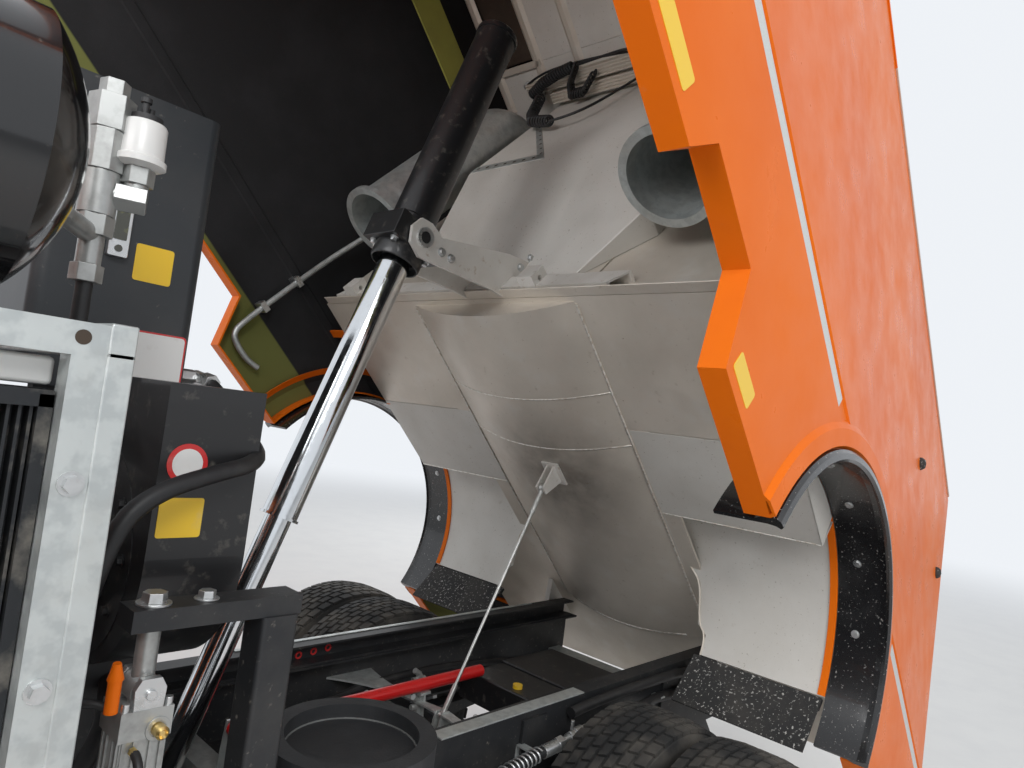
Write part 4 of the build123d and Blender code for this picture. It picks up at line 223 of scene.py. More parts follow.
UP_LYING = TIPPED.to_3x3() @ Vector((0, 0, 1))
OLIVE_TOP = UP_LYING.dot(TIPPED @ Vector((0, 0, 0.79)))
DUST = (0.42, 0.38, 0.32)
RUST = (0.22, 0.1, 0.04)
# The dark spot in the stainless round the rope's upper lug on the belly is painted shade and reflection of a dent
surface("stainless", (0.74, 0.68, 0.6), 0.42, 0.4,
    [(1.1, 6, 0.35, 0.7, (0.5, 0.45, 0.38), 0.7), (7, 8, 0.55, 0.75, (0.74, 0.72, 0.68), 0.5),
     (70, 3, 0.7, 0.75, RUST, 0.55), (26, 6, 0.64, 0.76, (0.36, 0.29, 0.21), 0.5)],
    [(2.5, 3, 0.2, 0.008), (180, 3, 0.1, 0.0008)], rough_range=(5, 0.34, 0.6),
    spots=[(TIPPED @ Vector((0.16, 0.03, 0.965)), 0.05, 0.42, (0.16, 0.14, 0.12), 1.3)])
surface("liner", (0.68, 0.66, 0.62), 0.55, 0.25,
    [(2, 6, 0.4, 0.7, (0.55, 0.52, 0.47), 0.6), (90, 3, 0.66, 0.71, (0.3, 0.26, 0.2), 0.7),
     (14, 6, 0.66, 0.8, (0.36, 0.3, 0.22), 0.5)],
    [(120, 3, 0.12, 0.001)], rough_range=(6, 0.45, 0.7))
surface("strip_green", (0.36, 0.35, 0.07), 0.75, 0.0,
    [(5, 6, 0.4, 0.7, (0.25, 0.25, 0.06), 0.6)], [(90, 3, 0.4, 0.002)])
surface("bright_steel", (0.82, 0.8, 0.76), 0.42, 0.35,
    [(6, 6, 0.4, 0.7, (0.66, 0.62, 0.56), 0.6), (34, 6, 0.62, 0.76, (0.4, 0.28, 0.16), 0.7)],
    [(160, 3, 0.1, 0.0008)], rough_range=(8, 0.34, 0.55))
surface("weld", (0.82, 0.8, 0.75), 0.3, 0.8,
    [(60, 3, 0.45, 0.6, (0.5, 0.42, 0.32), 0.6)], [(240, 2, 0.6, 0.002)])
surface("panel_inside", (0.012, 0.012, 0.013), 0.92, 0.0,
    [(3, 6, 0.45, 0.7, (0.022, 0.022, 0.024), 0.8), (150, 3, 0.62, 0.75, (0.045, 0.045, 0.045), 0.3)],
    [(220, 3, 0.5, 0.002), (9, 4, 0.25, 0.006)],
    bands=[(UP_LYING, OLIVE_TOP + 0.004, OLIVE_TOP - 0.004, (0.16, 0.17, 0.045))])
# Near-black brown for the holes and the duct's open mouth: painted shade inside openings
surface("painted_opening_shade", (0.035, 0.022, 0.014), 0.8, 0.0,
    [(6, 6, 0.45, 0.7, (0.07, 0.05, 0.035), 0.7)], [(90, 3, 0.3, 0.002)])
surface("stripe_grey", (0.6, 0.63, 0.62), 0.35, 0.1,
    [(300, 2, 0.45, 0.6, (0.5, 0.54, 0.54), 0.6)], [(420, 2, 0.2, 0.0005)], coat=0.3)
for plate, colour in (("yellow", (0.86, 0.55, 0.02)), ("white", (0.78, 0.78, 0.76)),
        ("red", (0.6, 0.03, 0.03))):
    surface(f"plate_{plate}", colour, 0.4, 0.0,
        [(20, 4, 0.6, 0.8, DUST, 0.3)], [(200, 2, 0.05, 0.0004)], coat=0.3)
surface("hose_black", (0.012, 0.012, 0.013), 0.5, 0.0,
    [(20, 5, 0.5, 0.75, (0.05, 0.048, 0.045), 0.5)], [(300, 2, 0.2, 0.0008)])
surface("steel", (0.62, 0.63, 0.63), 0.3, 0.9,
    [(40, 4, 0.5, 0.7, (0.4, 0.4, 0.38), 0.5)], [(200, 2, 0.1, 0.0006)], rough_range=(30, 0.22, 0.45))
surface("silver_grey", (0.42, 0.43, 0.42), 0.38, 0.6,
    [(22, 4, 0.45, 0.7, (0.2, 0.2, 0.19), 0.6)], [(200, 2, 0.1, 0.0006)], coat=0.2)
surface("brass", (0.72, 0.52, 0.2), 0.28, 0.9,
    [(50, 4, 0.5, 0.7, (0.5, 0.35, 0.12), 0.5)], [(200, 2, 0.08, 0.0006)])
surface("cooler", (0.03, 0.032, 0.035), 0.5, 0.6,
    [(14, 5, 0.5, 0.7, DUST, 0.4)], [(120, 3, 0.2, 0.001)])
surface("window", (0.035, 0.036, 0.02), 0.1, 0.0,
    [(30, 4, 0.55, 0.7, (0.2, 0.2, 0.05), 0.7)], coat=0.8)
surface("collar", (0.02, 0.021, 0.023), 0.6, 0.0,
    [(9, 5, 0.5, 0.75, (0.05, 0.052, 0.055), 0.5)], [(160, 3, 0.3, 0.0015)])
surface("flare_gloss", (0.01, 0.01, 0.011), 0.25, 0.0,
    [(110, 4, 0.64, 0.69, (0.5, 0.48, 0.45), 0.7), (5, 5, 0.5, 0.7, (0.05, 0.05, 0.05), 0.5)],
    [(100, 3, 0.15, 0.001)], coat=0.4)
surface("tail_red", (0.55, 0.01, 0.01), 0.15, 0.0,
    [(160, 2, 0.45, 0.6, (0.35, 0.0, 0.0), 0.5)], [(180, 2, 0.2, 0.001)], coat=0.7)
surface("mirror_glass", (0.8, 0.82, 0.84), 0.03, 1.0,
    [(3, 3, 0.5, 0.7, (0.74, 0.76, 0.78), 0.5)])
surface("galvanised", (0.58, 0.61, 0.60), 0.45, 0.7,
    [(30, 3, 0.45, 0.6, (0.45, 0.48, 0.48), 0.7), (4, 6, 0.5, 0.7, DUST, 0.35)],
    [(90, 2, 0.1, 0.001)], rough_range=(25, 0.35, 0.6))
surface("orange_grp", (0.82, 0.165, 0.006), 0.34, 0.0,
    [(1.5, 5, 0.4, 0.7, (0.72, 0.13, 0.012), 0.6), (40, 6, 0.68, 0.8, DUST, 0.12)],
    [(14, 2, 0.06, 0.004), (260, 2, 0.05, 0.0005)], rough_range=(6, 0.24, 0.42), ior=1.2)
surface("lining", (0.012, 0.012, 0.013), 0.95, 0.0,
    [(3, 6, 0.45, 0.7, (0.022, 0.022, 0.024), 0.8), (120, 3, 0.6, 0.75, (0.05, 0.05, 0.05), 0.4)],
    [(220, 3, 0.5, 0.002), (9, 4, 0.25, 0.006)], sheen=0.3)
surface("rubber", (0.02, 0.02, 0.02), 0.8, 0.0,
    [(90, 4, 0.595, 0.65, (0.6, 0.58, 0.55), 0.8), (6, 5, 0.45, 0.7, (0.06, 0.055, 0.05), 0.7)],
    [(120, 3, 0.4, 0.002)])
surface("tyre", (0.018, 0.018, 0.018), 0.82, 0.0,
    [(5, 6, 0.42, 0.7, (0.15, 0.135, 0.115), 0.7)], [(140, 3, 0.3, 0.001)])
surface("rim_paint", (0.62, 0.63, 0.64), 0.4, 0.4,
    [(9, 6, 0.5, 0.75, (0.3, 0.26, 0.21), 0.6)], [(80, 2, 0.1, 0.0008)])
surface("engine_grey", (0.07, 0.075, 0.08), 0.6, 0.5,
    [(12, 6, 0.5, 0.7, DUST, 0.4)], [(60, 4, 0.4, 0.003)])
surface("drum_black", (0.006, 0.006, 0.007), 0.16, 0.0,
    [(50, 6, 0.64, 0.8, DUST, 0.2)], [(5, 2, 0.04, 0.006)], coat=0.6, rough_range=(9, 0.12, 0.26))
surface("tank_grey", (0.028, 0.032, 0.036), 0.42, 0.0,
    [(5, 6, 0.45, 0.75, (0.06, 0.06, 0.06), 0.5), (70, 4, 0.66, 0.78, DUST, 0.3)], [(160, 2, 0.15, 0.0008)])
surface("cylinder_black", (0.012, 0.012, 0.013), 0.38, 0.0,
    [(30, 5, 0.58, 0.8, DUST, 0.25)], [(120, 2, 0.12, 0.0006)], coat=0.2)
surface("chrome", (0.72, 0.74, 0.76), 0.1, 1.0,
    [(25, 4, 0.55, 0.8, (0.5, 0.5, 0.5), 0.4)], rough_range=(40, 0.06, 0.18))
surface("rope_steel", (0.55, 0.55, 0.53), 0.35, 0.9,
    [(40, 4, 0.5, 0.7, (0.35, 0.33, 0.3), 0.5)], [(300, 2, 0.3, 0.001)])
surface("red_paint", (0.62, 0.012, 0.012), 0.3, 0.0,
    [(30, 5, 0.58, 0.75, (0.35, 0.01, 0.01), 0.6)], [(120, 2, 0.1, 0.0006)], coat=0.3)
surface("cab_orange", (0.82, 0.165, 0.006), 0.25, 0.0,
    [(1.5, 5, 0.4, 0.7, (0.74, 0.14, 0.012), 0.6), (60, 6, 0.68, 0.8, DUST, 0.2)],
    [(200, 2, 0.03, 0.0005)], coat=0.15, ior=1.33)
surface("frame_black", (0.014, 0.015, 0.017), 0.5, 0.0,
    [(6, 6, 0.45, 0.75, (0.05, 0.048, 0.045), 0.6), (60, 5, 0.62, 0.78, DUST, 0.4)], [(110, 2, 0.2, 0.0008)])
surface("black_plastic", (0.02, 0.02, 0.022), 0.55, 0.0,
    [(8, 5, 0.5, 0.75, (0.06, 0.058, 0.055), 0.5)], [(260, 2, 0.25, 0.0008)])
surface("seat_fabric", (0.03, 0.034, 0.045), 0.9, 0.0,
    [(90, 2, 0.45, 0.6, (0.06, 0.065, 0.08), 0.6)], [(320, 2, 0.5, 0.002)], sheen=0.4)
surface("amber", (0.9, 0.32, 0.02), 0.2, 0.0, [(20, 3, 0.5, 0.7, (0.8, 0.22, 0.01), 0.6)], coat=0.6)
surface("lamp_lens", (0.75, 0.76, 0.78), 0.12, 0.1, [(25, 3, 0.5, 0.7, (0.5, 0.52, 0.55), 0.6)], coat=0.6)
surface("bristle", (0.2, 0.18, 0.13), 0.8, 0.0,
    [(70, 4, 0.4, 0.6, (0.08, 0.07, 0.05), 0.8)], [(260, 2, 0.6, 0.004)], stretch=(1, 1, 0.1))
surface("fuel_tank", (0.62, 0.63, 0.64), 0.35, 0.9,
    [(8, 6, 0.5, 0.75, DUST, 0.5)], [(90, 2, 0.1, 0.0006)])

surface("glass", (0.5, 0.62, 0.62), 0.04, 0.0, [(3, 4, 0.45, 0.7, (0.42, 0.54, 0.55), 0.5)])
paint["glass"].node_tree.nodes["Principled BSDF"].inputs["Alpha"].default_value = 0.35

# Nodes whose finish here differs from their slot's own
OWN_FINISH = {
    "arch_liners": "liner", "suction_hoses": "collar", "arch_flares": "flare_gloss",
    "lift_cylinder": "silver_grey", "suction_pipes": "galvanised", "hopper_brackets": "bright_steel",
}
SHARP = radians(32)

# Side panels: outer face, thickness, and how they lean in above a height
SKIN_Y = 1.25
SKIN_THICK = 0.008
LEAN_Z = 1.096
PANEL_LEAN = (SKIN_Y - 1.03) / (2.7957 - LEAN_Z)
SKIN_NEAR = 0.02
FACING_IN = -0.6


def inner_y(z):
    return SKIN_Y - SKIN_THICK - PANEL_LEAN * max(0.0, z - LEAN_Z)


def paint_nodes():
    for part in frame["record"]["subparts"]:
        data = nodes[part["node"]].data
        data.materials.clear()
        data.materials.append(paint[OWN_FINISH.get(part["node"], part["material_slot"])])
        data.shade_smooth()
        data.set_sharp_from_angle(angle=SHARP)
    skin = nodes["side_panels"].data
    skin.materials.append(paint["panel_inside"])
    to_lying = TIPPED.inverted()
    for face in skin.polygons:
        centre = to_lying @ face.center
        way = to_lying.to_3x3() @ face.normal
        out = 1 if centre.y > 0 else -1
        if way.y * out < FACING_IN and abs(centre.y) > inner_y(centre.z) - SKIN_NEAR:
            face.material_index = 1


# Mesh tools
class Kit:
    def __init__(self):
        self.bm = bmesh.new()

    def loft(self, rings, cap=True, around=False):
        made = [[self.bm.verts.new(p) for p in ring] for ring in rings]
        count = len(rings[0])
        pairs = list(zip(made, made[1:]))
        if around:
            pairs.append((made[-1], made[0]))
        for a, b in pairs:
            for i in range(count):
                j = (i + 1) % count
                self.bm.faces.new((a[i], a[j], b[j], b[i]))
        if cap and not around:
            self.bm.faces.new(made[0][::-1])
            self.bm.faces.new(made[-1])
        return self

    def faces(self, points, loops):
        verts = [self.bm.verts.new(p) for p in points]
        for loop in loops:
            self.bm.faces.new([verts[i] for i in loop])
        return self

    def box(self, x0, x1, y0, y1, z0, z1):
        return self.loft([[(x0, y0, z), (x1, y0, z), (x1, y1, z), (x0, y1, z)] for z in (z0, z1)])

    def prism(self, points, axis, a0, a1):
        at = "xyz".index(axis)
        return self.loft([[(*p[:at], a, *p[at:]) for p in points] for a in (a0, a1)])

    def plate(self, x0, x1, z0, z1, corner, axis, a0, a1):
        return self.prism(rounded(x0, x1, z0, z1, corner), axis, a0, a1)

    def rod(self, start, end, radius, sides=20, end_radius=None):
        start, end = Vector(start), Vector(end)
        _, u, v = axes(end - start)
        ends = ((start, radius), (end, radius if end_radius is None else end_radius))
        return self.loft([[at + r * (cos(a) * u + sin(a) * v) for a in turns(sides)] for at, r in ends])

    def spin(self, start, way, section, sides=32):
        """section: (distance along way, radius), closed, turned about the line through start"""
        along, u, v = axes(way)
        start = Vector(start)
        return self.loft([[start + along * s + r * (cos(a) * u + sin(a) * v) for s, r in section]
            for a in turns(sides)], around=True)

    def ring(self, start, way, inner, outer, height, sides=32):
        return self.spin(start, way, [(0, inner), (0, outer), (height, outer), (height, inner)], sides)

    def band(self, section, centre, start, end, steps):
        """section: (y, radius), closed, swept about a line along Y from angle start to end"""
        x, z = centre
        angles = [start + (end - start) * i / steps for i in range(steps + 1)]
        return self.loft([[(x + r * cos(a), y, z + r * sin(a)) for y, r in section] for a in angles])

    def bolt(self, place, way, size, height):
        """Washer and six sided head"""
        place, way = Vector(place), Vector(way).normalized()
        self.rod(place, place + way * height * 0.2, size * 1.35)
        return self.rod(place + way * height * 0.2, place + way * height, size, 6, size * 0.94)

    def done(self, name, body, finish, place=STAND, bevel=0.0, smooth=True):
        bmesh.ops.recalc_face_normals(self.bm, faces=self.bm.faces)
        self.bm.transform(place)
        mesh = bpy.data.meshes.new(name)
        self.bm.to_mesh(mesh)
        self.bm.free()
        if smooth:
            mesh.shade_smooth()
            mesh.set_sharp_from_angle(angle=SHARP)
        return hang(name, mesh, body, finish, bevel)

    def on_frame(self, name, finish, bevel=0.0):
        return self.done(name, "chassis", finish, bevel=bevel)

    def on_hopper(self, name, finish, bevel=0.0):
        return self.done(name, "hopper", finish, TIPPED, bevel)


def hang(name, data, body, finish, bevel=0.0):
    obj = bpy.data.objects.new(name, data)
    bpy.context.scene.collection.objects.link(obj)
    data.materials.append(paint[finish])
    if bevel:
        edge = obj.modifiers.new("edge", "BEVEL")
        edge.width = bevel
        edge.segments = 2
        edge.limit_method = "ANGLE"
        edge.harden_normals = True
    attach(obj, body)
    return obj


def axes(way):
    along = Vector(way).normalized()
    u = along.orthogonal().normalized()
    return along, u, along.cross(u)


def rounded(x0, x1, z0, z1, r):
    points = []
    for cx, cz, start in ((x1 - r, z1 - r, 0), (x0 + r, z1 - r, 1), (x0 + r, z0 + r, 2), (x1 - r, z0 + r, 3)):
        for i in range(4):
            a = (start + i / 3) * pi / 2
            points.append((cx + r * cos(a), cz + r * sin(a)))
    return points


def turns(sides):
    return [2 * pi * i / sides for i in range(sides)]


def hose(name, points, radius, body, finish, place=STAND):
    data = bpy.data.curves.new(name, "CURVE")
    data.dimensions = "3D"
    data.bevel_depth = radius
    data.bevel_resolution = 3
    data.resolution_u = 5
    data.use_fill_caps = True
    spline = data.splines.new("NURBS")
    spline.points.add(len(points) - 1)
    for point, place_at in zip(spline.points, points):
        point.co = (*(place @ Vector(place_at)), 1)
    spline.order_u = 3
    spline.use_endpoint_u = True
    return hang(name, data, body, finish)


def line(name, points, radius):
    return hose(name, points, radius, "chassis", "hose_black")


def weld(name, points, radius):
    return hose(name, points, radius, "hopper", "weld", TIPPED)


def coil(points, turns_count, radius, per_turn=8):
    """Helix round a polyline, as points for a hose"""
    path = [Vector(p) for p in points]
    _, u, v = axes(path[-1] - path[0])
    count = turns_count * per_turn
    out = []
    for i in range(count + 1):
        t = i / count * (len(path) - 1)
        k = min(int(t), len(path) - 2)
        here = path[k].lerp(path[k + 1], t - k)
        a = 2 * pi * i / per_turn
        out.append(here + radius * (cos(a) * u + sin(a) * v))
    return out


# Hopper, drawn lying: wheel arch and its drum, rolled belly, stripe of the side panel
WHEEL_Z = 0.522
ARCH_R = 0.655
SHEET = 0.006
DRUM_IN = 0.4405
DRUM_OUT = 1.0895
PLATE_Z = 1.0495
BELLY = ((-0.43, 1.049), (-0.33, 1.013), (-0.18, 0.974), (0, 0.9605), (0.18, 0.974), (0.33, 1.013),
    (0.43, 1.049))
STRIPE_Z = (1.0495, 1.0875)
BUFFER_Z = 2.1


def arch_point(degrees, radius=ARCH_R):
    a = radians(degrees)
    return radius * cos(a), WHEEL_Z + radius * sin(a)


def dress_hopper():
    # Weld seams round the belly, along its two edges and at its rear rim
    for i, x in enumerate((0.585, 0.32)):
        weld(f"belly_seam_{i}", [(x, y, z) for y, z in BELLY], 0.0035)
    weld("belly_rim", [(-0.882, y, z) for y, z in BELLY[1:-1]], 0.005)
    for name, side in SIDES:
        weld(f"belly_edge_{name}", [(x, side * 0.432, 1.048) for x in (-0.88, 0.98)], 0.005)
    dress_arches()
    lip = [(1.012, 1.049), (1.05, 1.044), (1.052, 1.047), (1.02, 1.056), (1.012, 1.056)]
    Kit().prism(lip, "y", -1.07, 1.07).on_hopper("wall_lip", "stainless", 0.001)
    # Orange edge of the liners, reflective stripes in the panels' recesses, blank plates, rubber buffers,
    # screws, clamp bars of the mudflaps, bent pipe inside each panel and its clips
    trim, stripe, plates, domes, washers, flap_bars, clips = (Kit() for _ in range(7))
    for side in (1, -1):
        edge = ((1.062, SHEET), (DRUM_OUT, SHEET), (DRUM_OUT, 0.0005), (1.062, 0.0005))
        section = [(side * y, ARCH_R - deep) for y, deep in edge]
        trim.band(section, (0, WHEEL_Z), radians(54), radians(156), 34)
        for x0, x1 in ((0.6, 3.085), (-1.57, -0.6)):
            stripe.box(x0, x1, side * (SKIN_Y - 0.0058), side * (SKIN_Y - 0.0045), *STRIPE_Z)
        for x0, x1, z0, z1 in ((1.7, 2.02, 0.648, 0.703), (1.0, 1.128, 0.55, 0.605)):
            plates.plate(x0, x1, z0, z1, 0.008, "y", side * SKIN_Y, side * (SKIN_Y + 0.0012))
        for x in (-0.62, -1.4):
            domes.spin((x, side * (inner_y(BUFFER_Z) + SKIN_THICK - 0.006), BUFFER_Z), (0, side, 0),
                [(0, 0.0005), (0, 0.03), (0.014, 0.029), (0.026, 0.02), (0.031, 0.0005)], 20)
        for degrees in (38, 62, 86, 110, 134):
            x, z = arch_point(degrees, 0.652)
            washers.bolt((x, side * 1.16, z), (-x, 0, WHEEL_Z - z), 0.011, 0.008)
        flap_bars.box(-0.632, -0.626, side * 0.57, side * 1.07, 0.745, 0.775)
        for y in (0.62, 0.74, 0.86, 0.98):
            flap_bars.bolt((-0.626, side * y, 0.76), X, 0.009, 0.008)
        for z in (0.8, 1.02):
            clips.box(1.125, 1.177, side * 1.183, side * 1.241, z, z + 0.03)
    trim.on_hopper("arch_trim", "orange_grp")
    stripe.on_hopper("panel_stripes", "stripe_grey")
    plates.on_hopper("panel_plates", "plate_yellow")
    domes.on_hopper("panel_buffers", "rubber")
    washers.on_hopper("flare_washers", "steel")
    flap_bars.on_hopper("flap_clamps", "steel", 0.001)
    bent = ((1.15, 1.12, 1.5), (1.15, 1.15, 1.4), (1.15, 1.19, 1.25), (1.151, 1.2, 1.009), (1.151, 1.2, 0.7),
        (1.14, 1.2, 0.62), (1.08, 1.2, 0.6), (0.984, 1.2, 0.6), (0.937, 1.2, 0.62))
    for name, side in SIDES:
        path = [(x, side * y, z) for x, y, z in bent]
        hose(f"panel_pipe_{name}", path, 0.014, "hopper", "galvanised", TIPPED)
    clips.on_hopper("pipe_clips", "steel", 0.002)


# Where the flat plate over the front of the wheel meets the drum, and how far in the drum's edge lies
FOLD_X = -0.055
DRUM_EDGE = ((95, DRUM_IN), (121, DRUM_IN), (126, 0.475), (131, 0.526), (146, 0.54), (149, 0.585),
    (156.3, 0.58))


def dress_arches():
    liner = Kit()
    rear_arc = [arch_point(a) for a in range(95, 127, 3)] + [(-0.387, PLATE_Z), (FOLD_X, PLATE_Z)]
    front_arc = [arch_point(a) for a in range(54, 96, 3)] + [(FOLD_X, PLATE_Z), (0.387, PLATE_Z)]
    for side in (1, -1):
        inner, outer = side * DRUM_IN, side * DRUM_OUT
        rings = []
        for (a0, y0), (a1, y1) in zip(DRUM_EDGE, DRUM_EDGE[1:]):
            steps = max(2, int((a1 - a0) / 3))
            for k in range(steps + (a1 == DRUM_EDGE[-1][0])):
                a, y = a0 + (a1 - a0) * k / steps, side * (y0 + (y1 - y0) * k / steps)
                (x0, z0), (x1, z1) = arch_point(a), arch_point(a, ARCH_R + SHEET)
                rings.append([(x0, y, z0), (x0, outer, z0), (x1, outer, z1), (x1, y, z1)])
        liner.loft(rings)
        liner.prism(rear_arc, "y", inner, side * 0.446)
        liner.prism(front_arc, "y", side * 1.083, outer)
        liner.box(FOLD_X, 0.4, inner, outer, PLATE_Z, 1.0525)
        liner.box(FOLD_X - 0.004, FOLD_X, inner, outer, PLATE_Z, 1.176)
    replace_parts(liner.on_hopper("arch_drums", "liner", 0.0008), "arch_liners")
    # Folded edge of the drum and bead of the plate
    for name, side in SIDES:
        edge = [(x, side * (y + 0.002), z) for (x, z), y in ((arch_point(a), y) for a, y in DRUM_EDGE)]
        hose(f"drum_edge_{name}", edge, 0.004, "hopper", "stainless", TIPPED)
        weld(f"plate_bead_{name}", [(FOLD_X, side * y, 1.049) for y in (0.445, 0.75, 1.085)], 0.003)


WALL_X = 1.012
BOX_X = 1.26
ARM_Y = 0.105


def dress_front_wall():
    # Bolts on the ram arms, weld beads at the stiffener and lugs
    arms = Kit()
    for side in (-1, 1):
        for x, z in ((1.31, 0.875), (1.27, 0.9), (1.06, 1.19), (1.06, 1.26)):
            arms.bolt((x, side * ARM_Y, z), (0, side, 0), 0.012, 0.012)
        arms.ring((1.387, side * ARM_Y, 0.839), (0, side, 0), 0.021, 0.034, 0.008, 24)
    arms.on_hopper("ram_arm_bolts", "steel")
    for i, z in enumerate((1.056, 1.131)):
        weld(f"stiffener_bead_{i}", [(1.0133, -0.97, z), (1.0133, 0.63, z)], 0.004)
    # Galvanised angle across the wall, and its leaning strap, both with holes drawn as dark discs of painted shade
    strap = [(-0.14, 1.79), (-0.1, 1.79), (-0.51, 2.35), (-0.55, 2.35)]
    angle = Kit().box(BOX_X, 1.263, -0.565, -0.14, 1.79, 1.85).prism(strap, "x", BOX_X, 1.263)
    angle.on_hopper("wall_angle", "galvanised")
    dots = Kit()
    for i in range(7):
        share = i / 7
        leaning = (-0.165 - 0.35 * share, 1.86 + 0.48 * share, 0.007)
        for y, z, r in ((-0.53 + i * 0.058, 1.82, 0.009), leaning):
            dots.rod((1.2628, y, z), (1.2636, y, z), r, 16)
    dots.on_hopper("wall_angle_holes", "painted_opening_shade")
    for i, y in enumerate((-0.42, 0.45)):
        weld(f"wall_seam_{i}", [(1.0113, y, 1.14), (1.0113, y * 1.05, 2.7)], 0.0035)


# Air duct under the hood roof: the box on the wall that carries it, its underside and its side
DUCT_Z = 2.64
DUCT_Y = -0.95
BOX_HALF = 0.565
BOX_FOOT_HALF = 0.34


def dress_plenum():
    # Flat body round the open mouth, and the leaning box below it
    duct = Kit()
    for x0, x1, y0, y1 in (
            (1.03, 1.5, DUCT_Y, 0.6), (1.5, 2.02, DUCT_Y, -0.915), (1.5, 2.02, -0.645, 0.6),
            (1.985, 2.02, -0.915, -0.645)):
        duct.box(x0, x1, y0, y1, DUCT_Z, 2.73)
    low_z, mid_z, high_z = 1.15, 1.45, 1.78
    mid_x = WALL_X + (BOX_X - WALL_X) * (mid_z - low_z) / (high_z - low_z)
    points = [(WALL_X, BOX_FOOT_HALF, low_z), (mid_x, BOX_HALF, mid_z), (BOX_X, BOX_HALF, high_z),
        (BOX_X, BOX_HALF, DUCT_Z), (WALL_X, BOX_HALF, DUCT_Z), (WALL_X, BOX_HALF, mid_z)]
    points += [(x, -y, z) for x, y, z in points]
    duct.faces(points, ((0, 1, 2, 8, 7, 6), (2, 3, 9, 8), (0, 5, 1), (6, 7, 11), (1, 5, 4, 3, 2),
        (7, 8, 9, 10, 11)))
    duct.on_hopper("air_duct", "liner", 0.004)
    folds = Kit()
    for y in (DUCT_Y, -0.655, -0.4, 0.05, 0.32):
        fold = [(y, DUCT_Z), (y + 0.02, 2.625), (y + 0.045, 2.625), (y + 0.065, DUCT_Z)]
        folds.prism(fold, "x", 1.28, 2.01)
    folds.box(1.48, 1.515, DUCT_Y, -0.6, 2.625, DUCT_Z).on_hopper("duct_folds", "stainless", 0.002)
    # Dark box filling the duct's open mouth: painted shade inside the duct
    Kit().box(1.52, 1.98, -0.91, -0.65, 2.66, 2.725).on_hopper("duct_mouth", "painted_opening_shade", 0.002)
    Kit().box(1.52, 2.3, -0.958, -0.948, 2.28, 2.46).on_hopper("hood_strip", "strip_green", 0.002)
    # Ribbed rails that carry the curly air lines, the lines, their straight tails and glands
    rails = Kit()
    for x, y0, y1 in ((1.28, -0.58, 0.42), (1.355, -0.72, 0.4)):
        rails.box(x, x + 0.06, y0, y1, 2.585, DUCT_Z)
        for k in range(4):
            rails.box(x + 0.003 + k * 0.016, x + 0.011 + k * 0.016, y0 + 0.004, y1 - 0.004, 2.577, 2.586)
    rails.on_hopper("air_line_rails", "stainless", 0.0015)
    for i, path in enumerate((
            ((1.366, -0.665, 2.55), (1.409, -0.567, 2.545), (1.435, -0.449, 2.545), (1.445, -0.346, 2.55)),
            ((1.44, -0.337, 2.55), (1.379, -0.385, 2.53), (1.32, -0.4, 2.525), (1.32, -0.32, 2.525),
                (1.385, -0.243, 2.54)),
            ((1.34, -0.62, 2.55), (1.31, -0.56, 2.36), (1.31, -0.47, 2.24), (1.315, -0.29, 2.15)))):
        points = [path[0]] + coil(path, 20, 0.026) + [path[-1]]
        hose(f"curly_line_{i}", points, 0.006, "hopper", "hose_black", TIPPED)
    for i, path in enumerate((
            ((1.41, -0.72, 2.6), (1.45, -0.6, 2.57), (1.46, -0.4, 2.565), (1.44, -0.1, 2.58),
                (1.4, 0.15, 2.6)),
            ((1.445, -0.346, 2.55), (1.45, -0.2, 2.55), (1.45, 0.0, 2.57), (1.4, 0.2, 2.6)),
            ((1.315, -0.29, 2.15), (1.315, -0.18, 2.16), (1.31, -0.08, 2.3), (1.3, -0.04, 2.58)))):
        hose(f"air_tail_{i}", path, 0.0065, "hopper", "hose_black", TIPPED)
    glands = Kit()
    for x, y in ((1.41, -0.72), (1.4, 0.15), (1.4, 0.2), (1.3, -0.04)):
        glands.rod((x, y, DUCT_Z), (x, y, 2.6), 0.016, 6).rod((x, y, 2.602), (x, y, 2.582), 0.011)
    glands.on_hopper("air_glands", "steel")


# Ram, in a frame whose third axis runs up the barrel from the trunnion
RAM_FOOT = STAND @ Vector((1.38, 0, 0.7))
TRUNNION = TIPPED @ Vector((1.387, 0, 0.839))
UP_RAM = (TRUNNION - RAM_FOOT).normalized()
ACROSS = Vector(Y)
RAM = Matrix.Translation(TRUNNION) @ Matrix((ACROSS.cross(UP_RAM), ACROSS, UP_RAM)).transposed().to_4x4()
CLAMP_HALF = (0.106, 0.086)
CLAMP_BORE = 0.0772
CLAMP_Z = (-0.045, 0.047)


def dress_ram():
    # Square clamp round the gland end, turned collars, ring at the head of the barrel
    clamp = Kit()
    (half_x, half_y), (low_z, high_z) = CLAMP_HALF, CLAMP_Z
    corner = atan(half_y / half_x)
    rings = []
    for a in sorted(turns(48) + [corner, pi - corner, pi + corner, 2 * pi - corner]):
        reach = min(half_x / max(1e-9, abs(cos(a))), half_y / max(1e-9, abs(sin(a))))
        rings.append([(r * cos(a), r * sin(a), z) for r, z in (
            (CLAMP_BORE, low_z), (reach, low_z), (reach, high_z), (CLAMP_BORE, high_z))])
    clamp.loft(rings, around=True)
    clamp.spin((0, 0, -0.1), Z, [(0, 0.0785), (0, 0.084), (0.008, 0.087), (0.05, 0.087), (0.056, 0.0785)], 48)
    clamp.spin((0, 0, 0.05), Z, [(0, 0.0775), (0, 0.0835), (0.02, 0.0835), (0.026, 0.0775)], 48)
    clamp.done("ram_clamp", "cylinder_barrel", "cylinder_black", RAM, 0.003)
    cap = [(0, 0.0775), (0, 0.0815), (0.02, 0.0815), (0.0245, 0.078), (0.0245, 0.0775)]
    Kit().spin((0, 0, 0.905), Z, cap, 48).done("barrel_cap_ring", "cylinder_barrel", "cylinder_black", RAM)
    bolts = Kit()
    for x in (-0.075, 0.075):
        for y in (-0.055, 0.055):
            bolts.bolt((x, y, low_z), (0, 0, -1), 0.011, 0.014)
    bolts.done("clamp_bolts", "cylinder_barrel", "steel", RAM)


